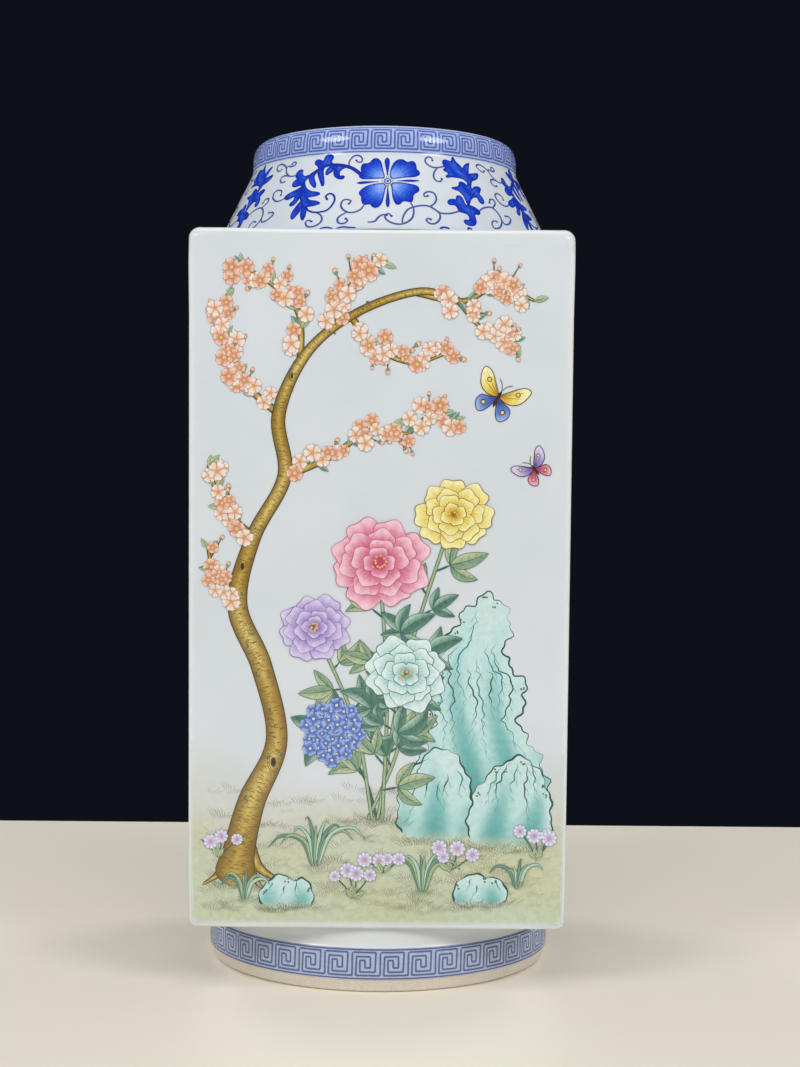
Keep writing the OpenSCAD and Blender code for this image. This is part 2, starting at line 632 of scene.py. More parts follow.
class Side(Enum):
    """The four sides of the body, as quarter turns from the front, anticlockwise seen from above."""

    FRONT = 0
    RIGHT = 1
    BACK = 2
    LEFT = 3

    def turn(self, points: Array) -> Array:
        """Turn places on the front to this side.

        Args:
            points: The places.

        Returns:
            The turned places.
        """
        c, s = ((1, 0), (0, 1), (-1, 0), (0, -1))[self.value]
        x, y = points[:, 0], points[:, 1]
        return np.column_stack([c * x - s * y, s * x + c * y, points[:, 2]])

    def swell(self, u: Array, z: Array) -> Array:
        """Say how far the hand-beaten slab stands out or dips.

        Args:
            u: Places across from the middle line.
            z: Their heights.

        Returns:
            How far each place stands out, in millimetres.
        """
        depth_mm, fade_half_mm, fade_mm, k = 0.16, 57.0, 25.0, self.value
        fade = np.clip(1.0 - (u / fade_half_mm) ** 2, 0.0, 1.0) ** 1.5
        fade = fade * smooth((z - SIZES.wall_z) / fade_mm) * smooth((SIZES.wall_top_z - z) / fade_mm)
        waves = np.sin(u / 21.0 + 1.3 * k) * np.sin(z / 33.0 + 0.7 * k)
        waves += 0.6 * np.sin(z / 19.0 + u / 37.0 + k)
        return depth_mm * fade * (waves - 1.1)

    def place(self, flat: Array) -> Array:
        """Lay a flat painting on the slab, over its swellings, and round its arrises.

        Args:
            flat: Points across from the middle line, up from the resting plane and out from the glaze.

        Returns:
            Their places on the vase.
        """
        u, z, out = flat.T
        on = np.column_stack([u, -SIZES.half_at(z) - out - self.swell(u, z), z])
        return settle(self.turn(on))


@dataclass(frozen=True)
class SlabBody:
    """The square body: four mitred walls between a floor plate and a shoulder plate with a round hole."""

    sizes: VaseSizes
    glaze: Material
    arc_steps: int = 5
    flat_steps: int = 60
    wall_rows: int = 96
    edge_rows: int = 8
    top_rows: int = 16
    thin_mm: float = 1.4
    same_mm: float = 0.002
    crease_deg: float = 35.0
    floor_shares: tuple[float, ...] = (0.98, 0.95, 0.9, 0.5, 0.2)

    def dress(self, name: str, points: Array, faces: Iterable[Face], thin: Array, node: str) -> None:
        """Make a slab a piece, its hand-worked shape given and points that fell together made one.

        Args:
            name: Name of the piece.
            points: Its points.
            faces: Its faces.
            thin: How thin the glaze is at each point.
            node: The node that it stands for.
        """
        piece = make_solid(name, settle(points), faces, self.glaze)
        store(piece.data, THIN_GLAZE_AND_BOUNCE, thin)
        work = bmesh.new()
        work.from_mesh(piece.data)
        bmesh.ops.remove_doubles(work, verts=work.verts, dist=self.same_mm * MM)
        work.to_mesh(piece.data)
        work.free()
        smooth_shade(piece.data, self.crease_deg)
        set_piece(piece, GLAZED, node)

    def wall(self, side: Side) -> None:
        """Build one wall as a closed solid: its painted face, two mitres, the inner face and both ends.

        Args:
            side: Which side of the body it is.
        """
        s, half, r, name = self.sizes, self.sizes.floor_half, self.sizes.arris_r, side.name.lower()
        across = (arc((r - half, r - half), r, r, 225, 270, self.arc_steps)
                  + [(u, -half) for u in crowded(r - half, half - r, self.flat_steps)[1:-1]]
                  + arc((half - r, r - half), r, r, 270, 315, self.arc_steps))
        inner = [(half - s.wall_t, s.wall_t - half), (s.wall_t - half, s.wall_t - half)]
        ring, painted = np.array(across + inner), len(across)
        rows = []
        for z in crowded(s.wall_z, s.wall_top_z, self.wall_rows):
            row = at_height(ring * (float(s.half_at(np.array(z))) / half), z)
            row[:painted, 1] -= side.swell(row[:painted, 0], row[:painted, 2])
            rows.append(row)
        n, count = len(ring), len(rows)
        faces = ring_faces(count, n) + [range(n - 1, -1, -1), range((count - 1) * n, count * n)]
        thin = np.exp(-((half - np.abs(ring[:, 0])) / self.thin_mm) ** 2)
        points = side.turn(np.vstack(rows))
        self.dress(f"glazed_{name}_wall", points, faces, np.tile(thin, count), f"{name}_slab")

    def perimeter(self, half: float) -> tuple[Array, Array]:
        """Outline of a plate with rounded corners, anticlockwise, and its outward normals.

        Args:
            half: Half width of the plate.

        Returns:
            Points and normals, one per row.
        """
        r = self.sizes.arris_r
        flat = crowded(r - half, half - r, self.flat_steps)[:-1]
        bend = np.array(arc((half - r, r - half), r, r, 270, 360, 2 * self.arc_steps))[:-1]
        front = np.vstack([np.column_stack([flat, np.full(len(flat), -half)]), bend])
        out = np.vstack([np.tile([0.0, -1.0], (len(flat), 1)), (bend - [half - r, r - half]) / r])
        bases = [radians(90.0 * quarter) for quarter in range(4)]
        turns = [np.array([[cos(base), sin(base)], [-sin(base), cos(base)]]) for base in bases]
        return np.vstack([front @ turn for turn in turns]), np.vstack([out @ turn for turn in turns])

    def plate(self, half: float, sharp_z: float, round_z: float) -> tuple[list[Array], list[Array]]:
        """Rings of a plate's edge, from its square end over its rounded arris.

        Args:
            half: Half width of the plate.
            sharp_z: Height of the end that meets the walls.
            round_z: Height of the end with the rounded arris.

        Returns:
            The rings, and how thin the glaze is on each.
        """
        r, out = self.sizes.arris_r, 1.0 if round_z > sharp_z else -1.0
        points, normals = self.perimeter(half)
        corner = np.exp(-((half - np.min(np.abs(points), axis=1)) / self.thin_mm) ** 2)
        rings = [at_height(points, z) for z in np.linspace(sharp_z, round_z - out * r, self.edge_rows)[:-1]]
        thin = [corner] * len(rings)
        for step in range(2 * self.arc_steps + 1):
            b = radians(90.0 * step / (2 * self.arc_steps))
            rings.append(at_height(points - normals * r * (1.0 - cos(b)), round_z - out * r * (1.0 - sin(b))))
            thin.append(np.maximum(corner, sin(2.0 * b) ** 0.5))
        return rings, thin

    def shoulder(self) -> None:
        """Build the shoulder plate, its top running in to the hole under the neck and down through it."""
        s = self.sizes
        rings, thin = self.plate(s.shoulder_half, s.wall_top_z, s.shoulder_z)
        edge = rings[-1][:, :2]
        hole = edge / norms(edge)[:, None] * (s.cone_bore_r - s.neck_ledge)
        inward = np.linspace(0.0, 1.0, self.top_rows + 1)[1:] ** 1.6
        rings += [at_height(edge + (hole - edge) * t, s.shoulder_z) for t in inward]
        rings.append(at_height(hole, s.wall_top_z))
        thin += [np.zeros(len(edge))] * (self.top_rows + 1)
        faces = ring_faces(len(rings), len(edge), True)
        self.dress("glazed_shoulder", np.vstack(rings), faces, np.concatenate(thin), "shoulder_slab")

    def floor(self) -> None:
        """Build the floor plate; its rings run from its upper face round to the middle below."""
        s = self.sizes
        rings, thin = self.plate(s.floor_half, s.wall_z, s.floor_z)
        edge, bare = rings[-1][:, :2], np.zeros(len(rings[-1]))
        rings = ([at_height(edge * self.floor_shares[-1], s.wall_z)] + rings
                 + [at_height(edge * t, s.floor_z) for t in self.floor_shares])
        thin = [bare] + thin + [bare] * len(self.floor_shares)
        n, count = len(edge), len(rings)
        ends = [range(n), range(count * n - 1, (count - 1) * n - 1, -1)]
        faces = [f[::-1] for f in ring_faces(count, n)] + ends
        self.dress("glazed_floor", np.vstack(rings), faces, np.concatenate(thin), "floor_slab")

    def build(self) -> None:
        """Build all six slabs."""
        for side in Side:
            self.wall(side)
        self.shoulder()
        self.floor()


@dataclass(frozen=True)
class Turned:
    """What the neck and the foot share: a half section turned about the vase's axis."""

    sizes: VaseSizes
    steps: int = 240
    # Whitening of the glaze that is painted bounce light; nought unless a ring says otherwise.
    painted_bounce_light: float = 0.0
    crease_deg: float = 40.0

    def turn(self, name: str, node: str, profile: Path, finish: tuple[str, Material],
             pool: Callable[[float], float], ripple: Callable[[int, float], float] | None = None) -> None:
        """Turn a closed half section into a solid ring.

        Args:
            name: Name of the piece.
            node: The node that it stands for.
            profile: Radius and height of the section, anticlockwise.
            finish: Its slot and its material.
            pool: Gives the glaze's pooling, or the paste's rust and painted contact shade, at a height.
            ripple: Gives a change of height for a point of the section at a turn.
        """
        slot, material = finish
        points, pooled = [], []
        for i in range(self.steps):
            a = TAU * i / self.steps
            for j, (r, z) in enumerate(profile):
                dz = ripple(j, a) if ripple else 0.0
                points.append((r * sin(a), -r * cos(a), z + dz))
                pooled.append(pool(z))
        faces = [f[:1] + f[:0:-1] for f in ring_faces(self.steps, len(profile), True)]
        piece = make_solid(name, np.array(points), faces, material)
        store(piece.data, POOL, np.array(pooled))
        # The painted bounce light, the same all round the ring.
        store(piece.data, THIN_GLAZE_AND_BOUNCE, np.full(len(points), self.painted_bounce_light))
        smooth_shade(piece.data, self.crease_deg)
        set_piece(piece, slot, node)


@dataclass(frozen=True)
class Neck(Turned):
    """The conical neck with its collar and the lip that rolls in to the mouth."""

    cone_steps: int = 24

    def outside(self) -> list[Point]:
        """Draw the section of the outside.

        Returns:
            Radius and height from the toe on the shoulder to the crown of the lip.
        """
        s, cove_r, hollow_r = self.sizes, self.sizes.neck_cove_r, self.sizes.collar_cove_r
        lean = degrees(s.cone_lean)
        toe_r = s.cone_r + cove_r * tan(radians(90.0 - lean) / 2.0)
        cove = arc((toe_r, s.shoulder_z + s.toe_h + cove_r), cove_r, cove_r, 262, 180 + lean, 8)
        hollow_z = s.kink_z + hollow_r * tan(s.cone_lean / 2.0)
        hollow = arc((s.collar_r + hollow_r, hollow_z), hollow_r, hollow_r, 180 + lean, 180, 8)
        lip = arc((s.crown_r, s.rim_z - s.lip_h), s.collar_r - s.crown_r, s.lip_h, 0, 90, 16)
        return cove + between(cove[-1], hollow[0], self.cone_steps) + hollow + lip

    def marks(self) -> tuple[float, float]:
        """Find where the painting starts.

        Returns:
            Lengths along the outside at the kink under the collar and at the foot of the straight cone.
        """
        section, on_cone = np.array(self.outside()), 20
        along = lengths(section)
        slant = (section[on_cone, 1] - self.sizes.shoulder_z) / cos(self.sizes.cone_lean)
        return float(np.interp(self.sizes.kink_z, section[:, 1], along)), float(along[on_cone] - slant)

    def build(self, glaze: Material) -> None:
        """Build the neck, with glaze pooled in the cove at its foot and in the hollow under the collar.

        Args:
            glaze: Its finish.
        """
        s = self.sizes
        lip = arc((s.crown_r, s.rim_z - s.lip_edge_h), s.crown_r - s.mouth_r, s.lip_edge_h, 90, 180, 6)
        inside_line = [(s.mouth_r, s.kink_z), (s.cone_bore_r, s.shoulder_z), (s.cone_r, s.shoulder_z)]

        def pooled(z: float) -> float:
            """Glaze pools in the cove at the foot and lightly in the hollow under the collar."""
            return 0.75 * bell(z - s.shoulder_z, 1.6) + 0.3 * bell(z - s.kink_z, 1.2)

        self.turn("glazed_neck", "neck", self.outside() + lip[1:] + inside_line, (GLAZED, glaze), pooled)


@dataclass(frozen=True)
class Foot(Turned):
    """The foot ring: a glazed band that draws in under the floor, and the bare rim it stands on."""

    glaze_mm: float = 0.14
    # Painted bounce light from the table whitens the band, in the shade under the body.
    painted_bounce_light: float = 0.45
    flush_mm: float = 0.35
    wiped_edge: Path = ((-0.05, 0.05), (0.0, 0.2))
    wiped_h: float = 0.6

    def outside(self) -> list[Point]:
        """Draw the section of the glazed outside.

        Returns:
            Radius and height from its wiped lower edge to the floor plate.
        """
        s = self.sizes
        upright = np.linspace(s.bare_rim_h + self.wiped_h, s.floor_z - s.foot_draw_h, 10)[:-1]
        return ([(s.foot_r + x, s.bare_rim_h + z) for x, z in self.wiped_edge]
                + [(s.foot_r, z) for z in upright]
                + arc((s.foot_r, s.floor_z), s.foot_draw_in, s.foot_draw_h, 270, 180, 12))

    def build(self, glaze: Material, paste: Material) -> None:
        """Build the glazed band and the bare rim.

        Args:
            glaze: Finish of the band.
            paste: Finish of the rim.
        """
        s, edge_r = self.sizes, self.sizes.foot_edge_r
        bore, rim = s.foot_r - s.foot_t, s.foot_r - s.bare_rim_in
        low = (s.foot_r - self.glaze_mm, s.bare_rim_h)

        def pooled(z: float) -> float:
            """Glaze pools where the foot meets the floor plate."""
            return 0.3 * bell(z - s.floor_z, 1.8)

        def rust_and_contact_shade(z: float) -> float:
            """Rusty next to the glaze; at the resting edge partly rust, partly painted contact shade."""
            return 0.5 * bell(z - s.bare_rim_h, self.flush_mm) + 0.4 * bell(z, self.flush_mm)

        def wander(j: int, a: float) -> float:
            """The lowest points of the band, where the glaze was wiped off, wander from level."""
            return 0.10 * sin(5 * a + 0.4) + 0.07 * sin(13 * a + 2.0) + 0.04 * sin(31 * a) if j < 2 else 0.0

        band = self.outside() + [(bore, s.floor_z), (bore, s.bare_rim_h), low]
        self.turn("glazed_foot_band", "foot_ring", band, (GLAZED, glaze), pooled, wander)
        under = ([(bore + edge_r, 0.0)] + arc((rim - edge_r, edge_r), edge_r, edge_r, 270, 360, 6)
                 + between((rim, edge_r), low, 6) + [low, (bore, s.bare_rim_h), (bore, edge_r)])
        self.turn("bare_foot_rim", "foot_ring", under, (BARE, paste), rust_and_contact_shade)


def dot(at: Point, rx: float, ry: float, steps: int = 8) -> Array:
    """Outline of a dot."""
    return np.array(arc(at, rx, ry, 0, 360, steps))[:-1]


def curve(points: Path, step: float = 0.25, closed: bool = False) -> Array:
    """Run a smooth curve through points.

    Args:
        points: Points of the sheet in millimetres.
        step: Spacing of the result.
        closed: Whether the curve returns to its start.

    Returns:
        Points along a Catmull-Rom curve, evenly enough spaced to draw.
    """
    p = np.array(points, dtype=float)
    if closed:
        p = np.vstack([p[-1], p, p[0], p[1]])
    else:
        p = np.vstack([2 * p[0] - p[1], p, 2 * p[-1] - p[-2]])
    out = []
    for a, b, c, d in zip(p, p[1:], p[2:], p[3:]):
        count = max(2, int(np.linalg.norm(c - b) / step) + 1)
        t = np.linspace(0.0, 1.0, count, endpoint=False)[:, None]
        out.append(0.5 * (2 * b + (c - a) * t + (2 * a - 5 * b + 4 * c - d) * t ** 2
                          + (3 * b - a - 3 * c + d) * t ** 3))
    return np.vstack(out if closed else out + [p[-2]])


def resample(path: Array, step: float) -> Array:
    """Find points along a path no further apart than a step.

    Args:
        path: Points of the path.
        step: Longest step.

    Returns:
        The points of the path and those between them.
    """
    out = [path[0]]
    for a, b in zip(path, path[1:]):
        count = max(1, ceil(float(np.linalg.norm(b - a)) / step))
        out += [a + (b - a) * k / count for k in range(1, count + 1)]
    return np.array(out)


def inside(points: Array, outline: Array) -> Array:
    """Tell which points lie inside a closed outline.

    Args:
        points: Places, one per row.
        outline: Points of the outline in order.

    Returns:
        True for each point that lies inside.
    """
    x, y = points[:, 0][:, None], points[:, 1][:, None]
    a, b = outline, np.roll(outline, -1, axis=0)
    rise = np.where(b[:, 1] == a[:, 1], 1e-12, b[:, 1] - a[:, 1])
    crosses = ((a[:, 1] > y) != (b[:, 1] > y)) & (x < (b[:, 0] - a[:, 0]) * (y - a[:, 1]) / rise + a[:, 0])
    return crosses.sum(axis=1) % 2 == 1


def gaps(points: Array, others: Array) -> Array:
    """Distance of each point, by row, from each of the others, by column."""
    return np.linalg.norm(points[:, None] - others[None], axis=2)


@dataclass
class Painting:
    """Shapes laid flat on a sheet: across and up in millimetres, and a level that says what lies on what.

    One level stands level_mm over the next. A stroke's steps are step_mm at most, so that it follows a
    sheet that bends.
    """

    level_mm: float = 0.014
    step_mm: float = 0.6
    finest_mm: float = 0.02
    points: list[Array] = field(default_factory=list)
    colours: list[Array] = field(default_factory=list)
    faces: list[Face] = field(default_factory=list)
    count: int = 0

    def keep(self, points: Array, colours: Array, faces: Iterable[Face]) -> None:
        """Keep a shape.

        Args:
            points: Its points, across, up and out.
            colours: A colour for each point.
            faces: Its faces, anticlockwise.
        """
        self.points.append(points)
        self.colours.append(colours)
        self.faces += [tuple(v + self.count for v in f) for f in faces]
        self.count += len(points)

    def add(self, points: Array, colours: Array, faces: Iterable[Face], level: float) -> None:
        """Lay a flat shape on the sheet at a level, the lowest of them two levels over the glaze."""
        self.keep(at_height(points, (2.0 + level) * self.level_mm), colours, faces)

    def stroke(self, path: Path, width: Width, tone: Tone, level: float, edge: Tint | None = None,
               blunt: bool = False) -> None:
        """Draw a brush stroke along a path.

        Args:
            path: Points of the stroke.
            width: Width, or a function of how far along the stroke.
            tone: Colour down the middle, or a function of how far along.
            level: Level of the stroke.
            edge: Colour along both sides, where it differs.
            blunt: Whether the ends are cut square instead of rounded.
        """
        path = resample(np.asarray(path, dtype=float), self.step_mm)
        path = path[np.concatenate([[True], norms(np.diff(path, axis=0)) > 1e-6])]
        n = len(path)
        if n < 2:
            return
        along = lengths(path)
        t = along / along[-1]
        wide = np.array([width(x) for x in t]) if callable(width) else np.full(n, float(width))
        if not blunt:
            to_end = np.minimum(along, along[-1] - along) / np.maximum(wide / 2.0, 1e-4)
            wide = wide * np.sqrt(np.clip(1.0 - (1.0 - np.clip(to_end, 0.0, 1.0)) ** 2, 0.02, 1.0))
        left = to_left(ways(path)) * (np.maximum(wide, self.finest_mm) / 2.0)[:, None]
        middle = np.array([tone(x) for x in t]) if callable(tone) else np.tile(rgba(tone), (n, 1))
        sides = np.tile(rgba(edge), (n, 1)) if edge else middle
        faces = []
        for i in range(n - 1):
            faces += [(n + i, i, i + 1, n + i + 1), (i, 2 * n + i, 2 * n + i + 1, i + 1)]
        self.add(np.vstack([path, path + left, path - left]), np.vstack([middle, sides, sides]), faces, level)

    def rim(self, outline: Array, width: float, tone: Tint, level: float) -> None:
        """Draw a line round a closed outline."""
        self.stroke(np.vstack([outline, outline[:1]]), width, tone, level, blunt=True)

    def fill(self, outline: Path, heart: Point, stops: Stops, level: float) -> None:
        """Fill an outline that can be seen whole from one point inside it.

        Args:
            outline: Its points, in order.
            heart: The point inside.
            stops: Colours from the outline (1) in to the heart (0).
            level: Level of the shape.
        """
        edge, middle = np.asarray(outline, dtype=float), np.asarray(heart, dtype=float)
        x, y = edge.T
        if np.sum(x * np.roll(y, -1) - y * np.roll(x, -1)) < 0.0:
            edge = edge[::-1]
        n, count = len(edge), len(stops) - 1
        rings = [middle + (edge - middle) * t for t, _ in stops[:-1]]
        colours = [np.tile(rgba(tint), (n, 1)) for _, tint in stops[:-1]]
        last = (count - 1) * n
        faces = ring_faces(count, n) + [(last + i, last + (i + 1) % n, last + n) for i in range(n)]
        self.add(np.vstack(rings + [middle]), np.vstack(colours + [rgba(stops[-1][1])]), faces, level)

    def spot(self, at: Point, rx: float, ry: float, edge: Tint, heart: Tint, level: float,
             steps: int = 8) -> None:
        """Paint a round spot that runs from one colour at its edge to another in its middle."""
        self.fill(dot(at, rx, ry, steps), at, ((1.0, edge), (0.0, heart)), level)

    def area(self, outline: Array, wash: Wash, level: float, grid: float) -> None:
        """Fill any closed outline with a wash.

        Args:
            outline: Its points, in order, not crossing.
            wash: Gives colours for places and for their distances from the outline.
            level: Level of the shape.
            grid: Spacing of the points inside that carry the colours.
        """
        (x0, y0), (x1, y1) = outline.min(axis=0), outline.max(axis=0)
        x, y = np.meshgrid(np.arange(x0 + grid / 2, x1, grid), np.arange(y0 + grid / 2, y1, grid))
        x[1::2] += grid / 2
        inner = np.column_stack([x.ravel(), y.ravel()])
        inner = inner[inside(inner, outline)]
        inner = inner[gaps(inner, outline).min(axis=1) > 0.4 * grid]
        points = [Vector(p) for p in np.vstack([outline, inner])]
        verts, _, faces, _, _, _ = delaunay_2d_cdt(points, [], [list(range(len(outline)))], 1, 1e-6)
        at = np.array([tuple(v) for v in verts])
        deep_in = np.concatenate([np.zeros(len(outline)), gaps(inner, outline).min(axis=1)])
        if len(at) != len(points):
            deep_in = gaps(at, outline).min(axis=1)
        self.add(at, wash(at, deep_in), faces, level)

    def lay(self, mesh: Mesh, at: Point, turn: float, level: float) -> None:
        """Lay a painted flat mesh on the sheet.

        Args:
            mesh: The mesh, about its own middle.
            at: Where its middle goes.
            turn: How far it is turned.
            level: How many levels it is raised.
        """
        x, y, out = places_of(mesh).T
        tones = np.empty(len(x) * 4)
        mesh.attributes[PAINT].data.foreach_get("color", tones)
        c, s = cos(turn), sin(turn)
        spread = np.column_stack([at[0] + c * x - s * y, at[1] + s * x + c * y, out + level * self.level_mm])
        self.keep(spread, tones.reshape(-1, 4), [f.vertices for f in mesh.polygons])

    def mesh(self, name: str) -> Mesh:
        """Make a flat mesh of the sheet.

        Args:
            name: Its name.

        Returns:
            The mesh, a Blender unit to the millimetre.
        """
        mesh = bpy.data.meshes.new(name)
        mesh.from_pydata(np.vstack(self.points).tolist(), [], self.faces)
        store(mesh, PAINT, np.vstack(self.colours))
        return mesh


class TurnedSheet:
    """The outside of a turned ring: round it at a mean radius, and up along its section."""

    def __init__(self, section: Path, mean_r: float, start: float) -> None:
        """Keep the section.

        Args:
            section: Radius and height along the outside, upwards.
            mean_r: Radius at which the painting keeps its width.
            start: Length along the section at which the painting's up is nought.
        """
        line = np.array(section)
        way = ways(line)
        self.along = lengths(line)
        self.columns = (*line.T, way[:, 1], -way[:, 0])
        self.mean_r = mean_r
        self.start = start

    def place(self, flat: Array) -> Array:
        """Wrap a flat painting round the ring.

        Args:
            flat: Points across, up and out.

        Returns:
            Their places on the vase.
        """
        up = flat[:, 1] + self.start
        r, z, r_out, z_out = (np.interp(up, self.along, column) for column in self.columns)
        a, out = flat[:, 0] / self.mean_r, flat[:, 2]
        r, z = r + r_out * out, z + z_out * out
        return np.column_stack([r * np.sin(a), -r * np.cos(a), z])


def on_shoulder(flat: Array) -> Array:
    """Lay a flat painting, seen from above with the front edge below, on the top of the shoulder."""
    return settle(flat + (0.0, 0.0, SIZES.shoulder_z))


def wrap(name: str, mesh: Mesh, place: Callable[[Array], Array], material: Material) -> None:
    """Lay a flat painted mesh on the vase and make it a piece.

    Args:
        name: Name of the piece.
        mesh: The flat mesh.
        place: Gives places on the vase for flat points.
        material: Its finish.
    """
    placed = place(places_of(mesh)) * MM
    mesh.vertices.foreach_set("co", placed.ravel())
    mesh.materials.clear()
    mesh.materials.append(material)
    mesh.shade_smooth()
    mesh.name = name
    mesh.update()
    set_piece(add_object(name, mesh), GLAZED)


class NodeTree:
    """A geometry tree with named inputs that sets instances on points, run on a flat mesh."""

    def __init__(self, name: str, **inputs: str) -> None:
        """Make the tree with its sockets.

        Args:
            name: Name of the tree.
            **inputs: Input name to kind of socket.
        """
        self.tree = bpy.data.node_groups.new(name, "GeometryNodeTree")
        self.node = partial(add_node, self.tree)
        sockets = self.tree.interface
        sockets.new_socket("Geometry", in_out="INPUT", socket_type="NodeSocketGeometry")
        self.ids = {key: sockets.new_socket(key, in_out="INPUT", socket_type=f"NodeSocket{kind}").identifier
                    for key, kind in inputs.items()}
        sockets.new_socket("Geometry", in_out="OUTPUT", socket_type="NodeSocketGeometry")
        self.inlet = {socket.name: socket for socket in self.node("NodeGroupInput").node.outputs}

    def end(self, inputs: dict[str, Socket | bool]) -> None:
        """Set the instances, realize them, give them the material and join them to the output.

        Args:
            inputs: What goes into the node that sets instances on points.
        """
        placed = self.node("GeometryNodeInstanceOnPoints", inputs)
        solid = self.node("GeometryNodeRealizeInstances", {"Geometry": placed})
        finish = self.inlet["Material"]
        dressed = self.node("GeometryNodeSetMaterial", {"Geometry": solid, "Material": finish})
        self.node("NodeGroupOutput", {0: dressed})

    def run(self, mesh: Mesh, **values) -> Mesh:
        """Run the tree on a mesh.

        Args:
            mesh: What goes in.
            **values: Input name to value.

        Returns:
            The result as a plain mesh.
        """
        carrier = add_object("carrier", mesh)
        modifier = carrier.modifiers.new("tree", "NODES")
        modifier.node_group = self.tree
        for key, value in values.items():
            modifier[self.ids[key]] = value
        graph = bpy.context.evaluated_depsgraph_get()
        made = bpy.data.meshes.new_from_object(carrier.evaluated_get(graph), depsgraph=graph)
        carrier.modifiers.clear()
        bpy.data.objects.remove(carrier)
        return made


class RowTree(NodeTree):
    """Repeats a unit along a row: the key fret and the lotus scroll run round the vase this way."""

    def __init__(self) -> None:
        """Build the tree."""
        super().__init__("row_of_units", Count="Int", Pitch="Float", Material="Material")
        step = self.node("ShaderNodeCombineXYZ", {"X": self.inlet["Pitch"]})
        line = self.node("GeometryNodeMeshLine", {"Count": self.inlet["Count"], "Offset": step})
        self.end({"Points": line, "Instance": self.inlet["Geometry"]})


class RingTree(NodeTree):
    """Repeats a petal round a centre: small blossoms, daisies and chrysanthemums open this way."""

    def __init__(self) -> None:
        """Build the tree."""
        super().__init__("ring_of_petals", Count="Int", Lift="Float", Material="Material")
        count = self.inlet["Count"]
        step = self.node("ShaderNodeCombineXYZ", {"Z": self.inlet["Lift"]})
        line = self.node("GeometryNodeMeshLine", {"Count": count, "Offset": step})
        number = self.node("GeometryNodeInputIndex")
        share = self.node("ShaderNodeMath", {0: number, 1: count}, operation="DIVIDE")
        angle = self.node("ShaderNodeMath", {0: share, 1: TAU}, operation="MULTIPLY")
        spin = self.node("FunctionNodeEulerToRotation", {0: self.node("ShaderNodeCombineXYZ", {"Z": angle})})
        self.end({"Points": line, "Instance": self.inlet["Geometry"], "Rotation": spin})


class ScatterTree(NodeTree):
    """Sets small units on marked places, each turned and sized: blossoms, leaves, tufts and moss."""

    def __init__(self) -> None:
        """Build the tree."""
        super().__init__("scattered_units", Units="Collection", Material="Material")
        units = self.node("GeometryNodeCollectionInfo", {
            "Collection": self.inlet["Units"], "Separate Children": True, "Reset Children": True})
        pick, turn, size = (self.node("GeometryNodeInputNamedAttribute", {"Name": name}, data_type=kind)
                            for name, kind in (("pick", "INT"), ("turn", "FLOAT"), ("size", "FLOAT")))
        spin = self.node("FunctionNodeEulerToRotation", {0: self.node("ShaderNodeCombineXYZ", {"Z": turn})})
        scale = self.node("ShaderNodeCombineXYZ", {"X": size, "Y": size, "Z": 1.0})
        self.end({"Points": self.inlet["Geometry"], "Instance": units, "Pick Instance": True,
                  "Instance Index": pick, "Rotation": spin, "Scale": scale})


@dataclass(frozen=True)
class FretBand:
    """A band of key fret in cobalt: a wash between two rules, and a line that winds in and out.

    Heights are up the ring from where its sheet starts, in millimetres. The winding line has its places as
    shares of a unit's length and of the fret's height.
    """

    name: str
    units: int
    start: float
    low_rule: float
    fret_low: float
    fret_high: float
    high_rule: float
    wash_low: float
    wash_high: float
    line_w: float
    rule_w: tuple[float, float]
    wash: Cobalt
    line: Cobalt
    wash_strokes: int = 6
    wash_cover: float = 0.82
    turn_r: float = 0.32
    winding: Path = ((0.0, 1.0), (0.84, 1.0), (0.81, 0.16), (0.27, 0.16), (0.27, 0.66), (0.455, 0.66),
                     (0.455, 0.34), (0.64, 0.34), (0.64, 0.82), (0.15, 0.82), (0.12, 0.01), (0.99, 0.01),
                     (1.0, 1.0))

    def unit(self, pitch: float) -> Painting:
        """Paint one unit of the band.

        Args:
            pitch: Length of the unit.

        Returns:
            The painting, from nought to the pitch.
        """
        sheet, across, thin = Painting(), np.linspace(0.0, pitch, 15), self.wash.tone(self.wash_cover)
        wash_h = self.wash_high - self.wash_low
        heights = [self.wash_low + wash_h * k / self.wash_strokes for k in range(self.wash_strokes + 1)]
        for low, high in zip(heights, heights[1:]):
            sheet.stroke(at_height(across, (low + high) / 2.0), high - low, thin, 0.0, self.wash, blunt=True)
        rule = mix(self.line, Cobalt.DEEP, 0.35)
        for at, wide in zip((self.low_rule, self.high_rule), self.rule_w):
            sheet.stroke(at_height(across, at), wide, rule, 2.0, mix(rule, self.wash, 0.3), blunt=True)
        fret_h = self.fret_high - self.fret_low
        line = self.rounded([(x * pitch, self.fret_low + y * fret_h) for x, y in self.winding])
        sheet.stroke(line, self.line_w, self.line, 3.0, mix(self.line, self.wash, 0.35))
        return sheet

    def rounded(self, corners: Path) -> Array:
        """Take the sharpness off the corners of the winding line, as a brush does.

        Args:
            corners: Points of the line.

        Returns:
            Points of the line with each corner bent.
        """
        points, bend = np.array(corners), np.linspace(0.0, 1.0, 5)
        out = [points[0]]
        for a, b, c in zip(points, points[1:], points[2:]):
            start = b + (a - b) / np.linalg.norm(a - b) * self.turn_r
            end = b + (c - b) / np.linalg.norm(c - b) * self.turn_r
            out += [(1 - t) ** 2 * start + 2 * t * (1 - t) * b + t ** 2 * end for t in bend]
        return np.array(out + [points[-1]])

    def build(self, rows: RowTree, sheet: TurnedSheet, material: Material) -> None:
        """Repeat the unit round the ring and lay it on.

        Args:
            rows: The tree that repeats units.
            sheet: The ring.
            material: The finish.
        """
        pitch = TAU * sheet.mean_r / self.units
        flat = rows.run(self.unit(pitch).mesh(self.name), Count=self.units, Pitch=pitch, Material=material)
        flat.transform(Matrix.Translation((self.start, 0.0, 0.0)))
        wrap(self.name, flat, sheet.place, material)


